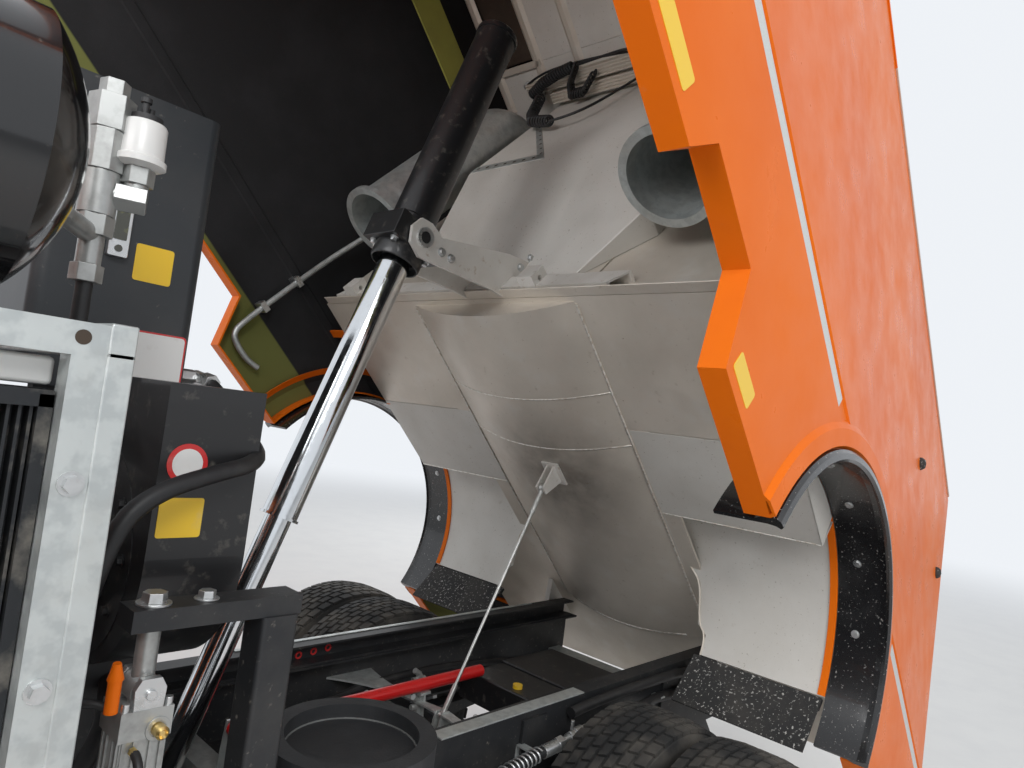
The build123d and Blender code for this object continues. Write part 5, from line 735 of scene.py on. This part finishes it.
# Frame and what stands on it: side face of the oil tank, fan casing and drum, lift post
TANK_Y = 0.24
FAN_Y = 0.6912
FAN_AXIS = (0.43, 1.64)
DRUM_AXIS = (0.86, 2.24)
STACK = (1.85, 0.6)
SENSOR = (1.8, 0.62)
POST_X, POST_Y = 1.74, 0.8


def dress_tank():
    # Sight gauge, blank plates, lid
    gauge = Kit().plate(1.678, 1.72, 2.225, 2.365, 0.004, "y", TANK_Y, TANK_Y + 0.016)
    gauge.on_frame("gauge_frame", "steel", 0.0015)
    window = Kit().plate(1.6855, 1.7125, 2.262, 2.355, 0.003, "y", TANK_Y + 0.014, TANK_Y + 0.018)
    window.rod((1.699, TANK_Y + 0.012, 2.243), (1.699, TANK_Y + 0.018, 2.243), 0.008)
    window.on_frame("gauge_window", "window")
    for name, low_by, high_by, finish, sheet in (
            ("yellow", 0, 0.0012, "plate_yellow", (1.575, 1.658, 2.185, 2.268, 0.006)),
            ("edge", 0, 0.001, "plate_red", (1.518, 1.668, 1.945, 2.075, 0.01)),
            ("white", 0.0008, 0.0016, "plate_white", (1.522, 1.664, 1.949, 2.071, 0.008))):
        Kit().plate(*sheet, "y", TANK_Y + low_by, TANK_Y + high_by).on_frame(f"tank_plate_{name}", finish)
    lid = Kit().box(1.52, 1.83, -0.34, 0.225, 2.599, 2.603)
    for x, y in ((1.55, 0.19), (1.8, 0.19), (1.55, -0.3), (1.8, -0.3)):
        lid.bolt((x, y, 2.603), Z, 0.008, 0.006)
    lid.on_frame("tank_lid", "tank_grey", 0.0015)
    # Fittings at the foot of the tank and the hoses from them
    metal = Kit()
    for start, end, r, sides in (
            ((1.507, 0.17, 1.985), (1.46, 0.17, 1.985), 0.02, 6),
            ((1.48, 0.17, 1.985), (1.445, 0.17, 1.985), 0.016, 20),
            ((1.45, 0.16, 1.987), (1.447, 0.21, 1.98), 0.018, 20),
            ((1.448, 0.205, 1.981), (1.443, 0.245, 1.975), 0.022, 6),
            ((1.62, 0.18, 1.93), (1.62, 0.18, 1.885), 0.03, 6),
            ((1.62, 0.18, 1.89), (1.62, 0.18, 1.86), 0.024, 20),
            ((1.75, 0.1, 1.93), (1.75, 0.1, 1.88), 0.03, 6)):
        metal.rod(start, end, r, sides)
    metal.on_frame("tank_fittings", "steel", 0.001)
    line("tank_return_hose", [(1.45, 0.185, 1.985), (1.44, 0.24, 1.975), (1.445, 0.33, 1.935),
        (1.47, 0.46, 1.89), (1.505, 0.61, 1.86), (1.55, 0.715, 1.84), (1.65, 0.745, 1.82),
        (1.75, 0.765, 1.79), (1.81, 0.77, 1.73), (1.83, 0.76, 1.6)], 0.016)
    hose("tank_suction_pipe", [(1.62, 0.18, 1.87), (1.62, 0.18, 1.82), (1.65, 0.19, 1.79), (1.72, 0.2, 1.785),
        (1.8, 0.2, 1.77), (1.9, 0.18, 1.72)], 0.022, "chassis", "galvanised")
    for i, path in enumerate((
            ((1.75, 0.1, 1.89), (1.75, 0.12, 1.78), (1.72, 0.2, 1.68), (1.7, 0.22, 1.5), (1.72, 0.2, 1.3)),
            ((1.84, -0.1, 1.86), (1.8, 0.12, 1.76), (1.78, 0.3, 1.6), (1.77, 0.42, 1.4), (1.75, 0.44, 1.2),
                (1.76, 0.42, 1.06)),
            ((1.86, 0.05, 1.9), (1.84, 0.25, 1.84), (1.8, 0.48, 1.86), (1.8, 0.62, 1.7), (1.79, 0.66, 1.45),
                (1.8, 0.62, 1.2)),
            ((1.9, 0.3, 1.55), (1.85, 0.55, 1.6), (1.84, 0.72, 1.5), (1.86, 0.76, 1.3), (1.9, 0.74, 1.12)),
            ((1.62, 0.3, 1.4), (1.66, 0.5, 1.34), (1.76, 0.66, 1.3), (1.86, 0.7, 1.18)))):
        line(f"module_hose_{i}", path, 0.017)


def dress_drum():
    # Valve stack with a six sided cap, pressure sensor on its elbow, feed to the drum
    metal = Kit()
    for z0, z1, r, sides in ((2.12, 2.15, 0.026, 6), (2.15, 2.2, 0.02, 20), (2.2, 2.235, 0.031, 6),
            (2.235, 2.31, 0.03, 20), (2.31, 2.38, 0.034, 8), (2.38, 2.44, 0.037, 6), (2.44, 2.468, 0.024, 6)):
        metal.rod((*STACK, z0), (*STACK, z1), r, sides)
    for start, end, r, sides in (
            ((*STACK, 2.2), (1.95, 0.7, 2.22), 0.017, 20),
            ((1.92, 0.67, 2.214), (1.985, 0.735, 2.227), 0.026, 6),
            ((*STACK, 2.275), (*SENSOR, 2.275), 0.02, 20),
            ((1.828, 0.61, 2.275), (1.782, 0.628, 2.275), 0.026, 6),
            ((*SENSOR, 2.262), (*SENSOR, 2.325), 0.02, 20), ((*SENSOR, 2.3), (*SENSOR, 2.33), 0.027, 6)):
        metal.rod(start, end, r, sides)
    metal.on_frame("valve_stack", "silver_grey", 0.0012)
    turned = [(0, 0.001), (0, 0.03), (0.006, 0.042), (0.016, 0.042), (0.02, 0.037), (0.075, 0.036),
        (0.08, 0.033), (0.08, 0.001)]
    Kit().spin((*SENSOR, 2.33), Z, turned, 36).on_frame("pressure_sensor", "plate_white")
    cap = Kit().rod((*SENSOR, 2.41), (*SENSOR, 2.422), 0.026)
    for x, y, z0, z1, r in ((1.806, 0.625, 2.42, 2.445, 0.006), (1.792, 0.612, 2.42, 2.44, 0.006),
            (1.806, 0.625, 2.444, 2.452, 0.009)):
        cap.rod((x, y, z0), (x, y, z1), r)
    cap.on_frame("sensor_terminals", "black_plastic")
    line("valve_line", [(*STACK, 2.13), (*STACK, 1.98), (1.85, 0.61, 1.9), (1.88, 0.64, 1.82),
        (1.95, 0.7, 1.76)], 0.014)
    straps = Kit()
    for x in (2.11, 2.5):
        straps.ring((x, *DRUM_AXIS), X, 0.1805, 0.184, 0.04, 64)
    straps.on_frame("drum_straps", "steel")


def dress_module():
    # Bolt heads, holes drawn as dark discs of painted shade, and cheek of the zinc frame
    bolts, holes = Kit(), Kit()
    for side in (-1, 1):
        for x, z in ((1.95, 1.84), (1.95, 1.6), (1.95, 1.32), (2.72, 1.84), (2.72, 1.32)):
            bolts.bolt((x, side * 1.02, z), (0, side, 0), 0.011, 0.012)
        for x in (1.96, 2.06, 2.5, 2.62):
            holes.rod((x, side * 1.0199, 2.012), (x, side * 1.0204, 2.012), 0.009)
    bolts.on_frame("frame_bolts", "steel")
    holes.on_frame("frame_holes", "painted_opening_shade")
    cheek = Kit().box(1.9, 1.932, 0.9, 1.022, 1.99, 2.034).box(1.9, 1.932, 0.965, 1.022, 1.3, 2.0)
    cheek.on_frame("frame_cheek", "galvanised", 0.003)
    # Cooler between the posts: fins, frame and core
    fins = Kit()
    for side in (-1, 1):
        for i in range(62):
            x = 1.99 + i * 0.0112
            fins.box(x, x + 0.0035, side * 0.94, side * 0.985, 1.3, 1.93)
        for x0, x1, z0, z1 in ((1.972, 2.695, 1.285, 1.305), (1.972, 2.695, 1.925, 1.945),
                (1.972, 1.987, 1.3, 1.94), (2.68, 2.695, 1.3, 1.94)):
            fins.box(x0, x1, side * 0.93, side * 0.992, z0, z1)
        fins.box(1.985, 2.68, side * 0.955, side * 0.96, 1.3, 1.93)
    fins.done("cooler_fins", "chassis", "cooler", smooth=False)
    header = [(0.93, 1.95), (0.975, 1.95), (0.975, 1.985), (0.93, 1.985)]
    Kit().prism(header, "x", 1.972, 2.69).on_frame("cooler_header", "plate_white", 0.006)
    # Rims of the fan casing and its blank plates
    ribs = Kit()
    for x, inner, outer, wide in ((1.545, 0.19, 0.203, 0.008), (1.712, 0.188, 0.204, 0.01)):
        ribs.ring((x, *FAN_AXIS), X, inner, outer, wide, 48)
    for a in turns(10):
        ribs.bolt((1.7205, FAN_AXIS[0] + 0.165 * cos(a), FAN_AXIS[1] + 0.165 * sin(a)), X, 0.009, 0.01)
    ribs.on_frame("fan_rims", "cylinder_black")
    for name, y0, y1, r in (("red", FAN_Y, 0.6924, 0.036), ("white", 0.6922, 0.693, 0.027)):
        disc = Kit().rod((1.672, y0, 1.83), (1.672, y1, 1.83), r, 32)
        disc.on_frame(f"fan_plate_{name}", f"plate_{name}")
    sheet = Kit().plate(1.632, 1.71, 1.7, 1.77, 0.005, "y", FAN_Y, 0.6924)
    sheet.on_frame("fan_plate_yellow", "plate_yellow")


def dress_post():
    # Bolts on the post's top, clevis cheeks and tie rod nuts of the air cylinder
    metal = Kit()
    for x, size in ((POST_X, 0.02), (1.655, 0.015)):
        metal.bolt((x, POST_Y, 1.62), Z, size, size)
    cheek = [(1.718, 1.465), (1.762, 1.465), (1.764, 1.5), (1.755, 1.516), (1.725, 1.516), (1.716, 1.5)]
    for side in (-1, 1):
        metal.prism(cheek, "y", POST_Y + side * 0.0245, POST_Y + side * 0.038)
    metal.rod((POST_X, POST_Y - 0.044, 1.492), (POST_X, POST_Y + 0.044, 1.492), 0.008)
    for x in (1.708, 1.772):
        for dy in (-0.031, 0.031):
            metal.rod((x, POST_Y + dy, 1.468), (x, POST_Y + dy, 1.482), 0.0065)
    metal.on_frame("post_bolts", "steel", 0.001)
    # Ribs of the cylinder's body, brass plug, fitting and orange cap, air lines
    body, half = Kit(), 0.033
    for side in (-1, 1):
        for d in (-0.028, -0.012, 0.012, 0.028):
            body.box(POST_X + d - 0.003, POST_X + d + 0.003,
                POST_Y + side * half, POST_Y + side * (half + 0.004), 1.172, 1.424)
            body.box(POST_X + side * half, POST_X + side * (half + 0.004),
                POST_Y + d - 0.003, POST_Y + d + 0.003, 1.172, 1.424)
    port = (1.722, POST_Y + 0.038, 1.437)
    body.ring(port, Y, 0.012, 0.019, 0.003, 28).on_frame("cylinder_ribs", "silver_grey", 0.0008)
    plug = [(0, 0.0005), (0, 0.0105), (0.02, 0.0105), (0.024, 0.007), (0.02, 0.004), (0.02, 0.0005)]
    plugs = Kit().spin(port, Y, plug, 24)
    plugs.rod((1.755, POST_Y + 0.038, 1.41), (1.755, POST_Y + 0.05, 1.41), 0.007, 6)
    plugs.on_frame("cylinder_plugs", "brass")
    cap = Kit().rod((1.79, 0.825, 1.52), (1.792, 0.828, 1.545), 0.012, 20, 0.006)
    cap.rod((1.79, 0.825, 1.47), (1.79, 0.825, 1.52), 0.01).on_frame("orange_cap", "orange_grp")
    line("cylinder_line_low", [(1.755, 0.848, 1.41), (1.755, 0.87, 1.405), (1.758, 0.88, 1.36),
        (1.765, 0.87, 1.28), (1.79, 0.84, 1.18)], 0.007)
    line("cylinder_line_high", [(1.775, 0.775, 1.455), (1.8, 0.76, 1.47), (1.83, 0.74, 1.44),
        (1.85, 0.72, 1.36)], 0.007)


# Oil line along the rail, and the suction collars
LINE_Y = 0.55
COLLAR = (1.28, 0.76)


def dress_frame():
    # Pale flange strips on the rails: a galvanised bar on the near rail, and on the far rail a painted reflection
    # of the sky on its black top; red rings round the holes, conduit
    strips = Kit().box(0.02, 0.72, 0.415, 0.467, 1.0305, 1.0355)
    # Far strip: painted reflection of the sky on the far rail's black top
    strips.box(-0.75, 0.9, -0.4645, -0.445, 1.0305, 1.034).on_frame("rail_strip_and_painted_reflection", "galvanised", 0.001)
    rings = Kit()
    for x, z in ((0.628, 0.974), (0.562, 0.979), (0.496, 0.984)):
        rings.ring((x, -0.4575, z), Y, 0.008, 0.0145, 0.004, 24)
    rings.on_frame("rail_hole_rings", "plate_red")
    conduit = ((0.12, 0.99), (0, 1.0), (-0.35, 1.003), (-0.6, 1.0), (-0.76, 0.985))
    line("rail_conduit", [(x, 0.488, z) for x, z in conduit], 0.02)
    # Oil line with its ball valve, handle, guarded hose and brackets
    line("oil_hose", [(0.02, LINE_Y, 0.955), (-0.1, 0.552, 0.957), (-0.22, LINE_Y, 0.956),
        (-0.34, 0.52, 0.943), (-0.45, 0.492, 0.928), (-0.62, 0.49, 0.918), (-0.78, 0.49, 0.9)], 0.02)
    valve = Kit()
    for x0, x1, r0, r1, sides in (
            (0.02, 0.06, 0.0255, 0.0255, 24), (0.055, 0.1, 0.02, 0.017, 24), (0.1, 0.13, 0.024, 0.024, 6),
            (0.13, 0.17, 0.027, 0.027, 20), (0.17, 0.2, 0.024, 0.024, 6), (0.2, 0.24, 0.016, 0.016, 20),
            (0.24, 0.27, 0.025, 0.025, 6), (0.27, 0.34, 0.021, 0.021, 24)):
        valve.rod((x0, LINE_Y, 0.955 - 0.06 * x0), (x1, LINE_Y, 0.955 - 0.06 * x1), r0, sides, r1)
    valve.rod((0.15, LINE_Y, 0.95), (0.15, 0.588, 0.95), 0.009)
    valve.rod((0.185, 0.545, 0.97), (0.185, 0.545, 1.0), 0.007, 6)
    for x in (-0.12, -0.02):
        valve.ring((x, 0.5505, 0.9562), X, 0.0205, 0.0225, 0.012, 32)
    valve.on_frame("ball_valve", "steel", 0.001)
    handle = [(0.165, 0.957), (0.14, 0.96), (0.06, 0.935), (-0.04, 0.95), (-0.042, 0.938), (0.058, 0.922),
        (0.14, 0.943), (0.165, 0.943)]
    Kit().prism(handle, "y", 0.586, 0.591).on_frame("valve_handle", "red_paint", 0.002)
    line("guarded_hose", [(0.33, LINE_Y, 0.936), (0.5, LINE_Y, 0.92), (0.7, 0.56, 0.9), (0.95, 0.57, 0.85),
        (1.05, 0.56, 0.76)], 0.018)
    guard = [(0.36, LINE_Y, 0.934), (0.5, LINE_Y, 0.92), (0.7, 0.56, 0.9), (0.9, 0.568, 0.866)]
    hose("hose_guard", coil(guard, 22, 0.0225), 0.0035, "chassis", "steel")
    brackets = Kit()
    for x in (0.36, -0.18, -0.48):
        brackets.box(x - 0.015, x + 0.015, 0.4655, 0.515, 0.93, 0.936)
        brackets.box(x - 0.015, x + 0.015, 0.4655, 0.47, 0.87, 0.936)
    brackets.on_frame("line_brackets", "galvanised", 0.001)
    # Black covers between the rails, with a yellow cap, tray, lines and fittings
    front = ((-0.2, 0.78), (0.28, 0.78), (0.28, 0.86), (0.24, 0.9), (-0.16, 0.9), (-0.2, 0.86))
    rear = ((-0.21, 0.77), (0.29, 0.77), (0.29, 0.862), (0.247, 0.907), (-0.167, 0.907), (-0.21, 0.862))
    cover = Kit()
    for outline, ends in ((front, (-0.02, -0.24)), (rear, (-0.245, -0.6))):
        cover.loft([[(x, y, z) for y, z in outline] for x in ends])
    cover.on_frame("battery_covers", "cylinder_black", 0.008)
    Kit().box(0.1, 1.2, -0.4, 0.4, 0.716, 0.72).on_frame("rail_tray", "frame_black", 0.001)
    Kit().rod((-0.07, 0.08, 0.9), (-0.07, 0.08, 0.915), 0.02).on_frame("yellow_cap", "plate_yellow")
    for i, path in enumerate((
            ((0.75, -0.3, 0.8), (0.45, -0.36, 0.84), (0.1, -0.34, 0.86), (-0.2, -0.36, 0.84),
                (-0.7, -0.3, 0.8)),
            ((0.95, -0.1, 0.76), (0.7, -0.2, 0.88), (0.5, -0.28, 0.86), (0.42, -0.36, 0.78),
                (0.5, -0.38, 0.72)),
            ((0.85, 0.2, 0.74), (0.6, 0.24, 0.8), (0.3, 0.3, 0.82), (0, 0.33, 0.83), (-0.5, 0.34, 0.82)),
            ((-0.62, 0.2, 0.82), (-0.72, 0.22, 0.88), (-0.8, 0.28, 0.86), (-0.85, 0.32, 0.78)))):
        line(f"frame_line_{i}", path, 0.016)
    fittings = Kit()
    for x, y, z in ((0.451, -0.2, 0.87), (0.134, -0.29, 0.87), (0.3, -0.1, 0.86), (0.2, 0.14, 0.85)):
        fittings.rod((x, y, z - 0.09), (x, y, z), 0.016, 6).rod((x, y, z), (x + 0.03, y, z + 0.02), 0.012)
        fittings.rod((x - 0.03, y, z - 0.02), (x + 0.035, y, z - 0.02), 0.011)
    fittings.on_frame("line_fittings", "silver_grey", 0.001)
    # Dished inner disc in each suction collar
    dish = [(0, 0.0005), (0, 0.137), (0.006, 0.137), (0.002, 0.06), (0.001, 0.0005)]
    for name, side in SIDES:
        x, y = COLLAR[0], side * COLLAR[1]
        Kit().spin((x, y, 1.262), Z, dish, 48).on_frame(f"collar_disc_{name}", "collar")
        Kit().ring((x, y, 1.266), Z, 0.1345, 0.1375, 0.004, 48).on_frame(f"collar_lip_{name}", "silver_grey")


# Wheels: outline of the tyre as shares of its half width, tread rows from the middle outwards
TYRE_HALF = 0.1475
TYRE_SIDE = (
    (0.6, 0.306), (0.62, 0.286), (0.76, 0.286), (0.76, 0.3), (0.84, 0.312), (0.85, 0.32), (0.89, 0.328),
    (0.96, 0.35), (0.995, 0.378), (1, 0.4), (0.985, 0.403), (0.985, 0.425), (0.998, 0.429), (0.975, 0.458),
    (0.97, 0.467), (0.91, 0.492), (0.86, 0.497), (0.8, 0.5035), (0.45, 0.5115))
TREAD_ROWS = ((-0.09, 0.09), (0.17, 0.34), (0.42, 0.6), (0.68, 0.9))
TREAD_BLOCKS = 54
TREAD_DEEP = 0.0135
NUT_CIRCLE = 0.1675


def crown(share):
    return TYRE_R - 0.008 * max(0, share - 0.45) / 0.35


def tyre(kit, x, y):
    section = [(s * TYRE_HALF, r) for s, r in TYRE_SIDE]
    kit.spin((x, y, TYRE_R), Y, section + [(-s, r) for s, r in reversed(section)], 96)
    pitch = 2 * pi / TREAD_BLOCKS
    for row, (inner, outer) in enumerate(TREAD_ROWS):
        for way in (1, -1) if row else (1,):
            for k in range(TREAD_BLOCKS):
                block = []
                for share, skew in ((inner, 0), (outer, 0.16 * way)):
                    top = crown(abs(share))
                    corners = []
                    for r, a in ((top - TREAD_DEEP, 0), (top, 0), (top, 0.8), (top - TREAD_DEEP, 0.8)):
                        turn = pitch * (k + 0.5 * (row % 2) + a + skew)
                        corners.append((x + r * cos(turn),
                            y + way * share * TYRE_HALF, TYRE_R + r * sin(turn)))
                    block.append(corners)
                kit.loft(block)


def dress_wheels():
    for name, side in SIDES:
        for end, many, x, rows, face in (
                ("front", "", 3.8, (1.03,), 1.15), ("rear", "s", 0, (1.05, 0.72), 0.885)):
            body = f"{end}_wheel{many}_{name}"
            tread, nuts = Kit(), Kit()
            for y in rows:
                tyre(tread, x, side * y)
            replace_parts(tread.done(f"{end}_tread_{name}", body, "tyre"), f"{end}_tyre{many}_{name}")
            for k in range(10):
                a = 2 * pi * (k + 0.5) / 10
                spot = Vector((x + NUT_CIRCLE * cos(a), side * face, TYRE_R + NUT_CIRCLE * sin(a)))
                nuts.bolt(spot, (0, side, 0), 0.0165, 0.026)
                nuts.rod(spot, spot + Vector((0, side * 0.036, 0)), 0.009, 12)
            nuts.done(f"{end}_nuts_{name}", body, "steel")


TUFTS = 230


def dress_brooms():
    chance = Random(11)
    for name, side in SIDES:
        tufts = Kit()
        x, y = 2.61, side * 0.88
        for k in range(TUFTS):
            a = 2 * pi * k / TUFTS + chance.uniform(-0.02, 0.02)
            lag = chance.uniform(-0.1, 0.05)
            reach = chance.uniform(0.312, 0.329)
            path = []
            for r, z, more in ((0.162, 0.313, 0), (0.25, 0.225, 0.4), (reach, 0.125, 1)):
                path.append((x + r * cos(a + lag * more), y + r * sin(a + lag * more), z))
            for start, end in zip(path, path[1:]):
                tufts.rod(start, end, 0.0022, 4, 0.0018)
        tufts.ring((x, y, 0.3), Z, 0.13, 0.172, 0.012, 40)
        tufts.done(f"bristles_{name}", f"broom_{name}", "bristle")


# Seats
PAD_STEPS = 26


def groove(distance, wide):
    """Depth of a sewn channel, as a share, at a distance from its middle"""
    return 2.718 ** (-(distance / wide) ** 2)


def cushion(name, place, size, channels, turn):
    """Crowned pad, its sides drawn in between its corners, with sewn channels"""
    length, width, height = size
    kit = Kit()
    spread = [2 * i / PAD_STEPS - 1 for i in range(PAD_STEPS + 1)]
    for up in (1, -0.75):
        grid = []
        for u in spread:
            row = []
            for v in spread:
                x = length / 2 * u * (1 - 0.035 * (1 - v * v) * abs(u) ** 3)
                y = width / 2 * v * (1 - 0.035 * (1 - u * u) * abs(v) ** 3)
                full = ((1 - abs(u) ** 7) * (1 - abs(v) ** 7)) ** 0.42
                z = up * height / 2 * full * (0.84 + 0.16 * cos(u * pi / 2) * cos(v * pi / 2))
                if up > 0:
                    for k in range(channels):
                        seam = -0.6 + 1.2 * (k + 0.5) / channels
                        z -= 0.007 * groove(u - seam, 0.05) * (abs(v) < 0.68)
                    z -= 0.008 * groove(abs(v) - 0.7, 0.045) * full
                row.append(kit.bm.verts.new((x, y, z)))
            grid.append(row)
        for a, b in zip(grid, grid[1:]):
            for j in range(PAD_STEPS):
                kit.bm.faces.new((a[j], b[j], b[j + 1], a[j + 1]))
    bmesh.ops.remove_doubles(kit.bm, verts=kit.bm.verts, dist=0.0004)
    place = STAND @ Matrix.Translation(place) @ Matrix.Rotation(turn, 4, "Y")
    piece = kit.done(name, "cab", "seat_fabric", place, smooth=False)
    piece.data.shade_smooth()
    rounder = piece.modifiers.new("round", "SUBSURF")
    rounder.levels = rounder.render_levels = 1


def dress_seats():
    base = Kit()
    foot = [(4.02, 1.032), (4.36, 1.032), (4.34, 1.08), (4.26, 1.1), (4.3, 1.37), (4.06, 1.37), (4.1, 1.1),
        (4.03, 1.08)]
    shell = [(3.95, 1.38), (3.99, 1.38), (3.88, 2.1), (3.845, 2.1)]
    for name, side in SIDES:
        y = side * 0.74
        cushion(f"seat_cushion_{name}", (4.215, y, 1.455), (0.5, 0.44, 0.125), 3, radians(-5))
        cushion(f"seat_back_{name}", (3.91, y, 1.8), (0.6, 0.43, 0.12), 4, radians(-82))
        cushion(f"head_rest_{name}", (3.83, y, 2.235), (0.19, 0.26, 0.09), 1, radians(-82))
        base.prism(foot, "y", y - 0.14, y + 0.14).box(3.98, 4.42, y - 0.2, y + 0.2, 1.37, 1.392)
        for dy in (-0.06, 0.06):
            base.rod((3.85, y + dy, 2.08), (3.835, y + dy, 2.2), 0.007)
        base.prism(shell, "y", y - 0.17, y + 0.17)
    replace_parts(base.done("seat_bases", "cab", "black_plastic", bevel=0.006), "seats")


def screen_x(z):
    return 5.18 - 0.1826 * (z - 1.48)


def strip_corners(a, b):
    """Section of the screen's seal: (distance off the glass, place across)"""
    return (0.001, a), (0.007, a), (0.007, b), (0.001, b)


def dress_cab():
    wipers = Kit()
    for y in (-0.62, 0.28):
        foot = Vector((screen_x(1.52) + 0.012, y, 1.52))
        wipers.rod(foot, foot + Vector((0.025, 0, 0)), 0.022)
        wipers.rod(foot + Vector((0.02, 0, 0)), (screen_x(2.1) + 0.02, y + 0.4, 2.1), 0.009, 8, 0.005)
        wipers.rod((screen_x(1.72) + 0.014, y + 0.36, 1.72), (screen_x(2.36) + 0.014, y + 0.42, 2.36),
            0.007, 6)
    wipers.done("wipers", "cab", "black_plastic")
    seal = Kit()
    for y0, y1 in ((-1.055, -1.03), (1.03, 1.055)):
        seal.loft([[(screen_x(z) + dx, y, z) for dx, y in strip_corners(y0, y1)] for z in (1.55, 2.49)])
    for z0, z1 in ((1.538, 1.562), (2.478, 2.502)):
        seal.loft([[(screen_x(z) + dx, y, z) for dx, z in strip_corners(z0, z1)] for y in (-1.055, 1.055)])
    seal.done("screen_seal", "cab", "black_plastic")
    # Mirror glass, door handles, lamps, blank plate, tank straps and caps
    mirrors, lamps, amber, red, tanks = (Kit() for _ in range(5))
    for side in (1, -1):
        mirrors.plate(side * 1.29 - 0.095, side * 1.29 + 0.095, 1.995, 2.285, 0.02, "x", 5.0045, 5.0075)
    mirrors.done("mirror_faces", "cab", "mirror_glass")
    for name, side in SIDES:
        handle = Kit().plate(4.05, 4.2, 1.33, 1.39, 0.012, "y", side * 1.1755, side * 1.181)
        handle.plate(4.06, 4.19, 1.362, 1.384, 0.008, "y", side * 1.181, side * 1.198)
        handle.rod((4.14, side * 1.18, 1.345), (4.14, side * 1.184, 1.345), 0.008)
        handle.done(f"door_handle_{name}", f"door_{name}", "black_plastic", bevel=0.002)
        for y in (0.8, 0.89):
            for section, sides in (
                    ([(0, 0.034), (0, 0.042), (0.004, 0.042), (0.002, 0.034)], 32),
                    ([(0, 0.0005), (0, 0.013), (0.002, 0.011), (0.003, 0.0005)], 20)):
                lamps.spin((5.1715, side * y, 0.55), X, section, sides)
        for kit, y, half, z0, z1, corner, x0, x1 in (
                (amber, 0.975, 0.03, 0.495, 0.605, 0.006, 5.1715, 5.1745),
                (amber, 0.79, 0.048, 0.412, 0.468, 0.004, -1.313, -1.3095),
                (red, 0.89, 0.045, 0.412, 0.468, 0.004, -1.313, -1.3095)):
            kit.plate(side * y - half, side * y + half, z0, z1, corner, "x", x0, x1)
        for y in (0.78, 1.0):
            for x0, x1, z0, z1 in ((1.636, 1.639, 0.42, 0.862), (1.991, 1.994, 0.42, 0.862),
                    (1.636, 1.994, 0.861, 0.864)):
                tanks.box(x0, x1, side * y - 0.02, side * y + 0.02, z0, z1)
        tanks.spin((1.72, side * 1.07, 0.86), Z,
            [(0, 0.0005), (0, 0.034), (0.01, 0.034), (0.012, 0.044), (0.034, 0.042), (0.036, 0.0005)], 28)
    lamps.on_frame("lamp_rings", "steel")
    amber.on_frame("lamp_ambers", "amber")
    red.on_frame("lamp_reds", "tail_red")
    rear_plate = Kit().plate(-0.26, 0.26, 0.565, 0.675, 0.006, "x", -1.299, -1.2965)
    rear_plate.on_frame("rear_plate", "plate_white", 0.0005)
    tanks.on_frame("tank_straps", "steel", 0.0006)


add_camera()
add_studio()
paint_nodes()
for dress in (dress_hopper, dress_front_wall, dress_plenum, dress_ram, dress_tank, dress_drum,
        dress_module, dress_post, dress_frame, dress_wheels, dress_brooms, dress_seats, dress_cab):
    dress()
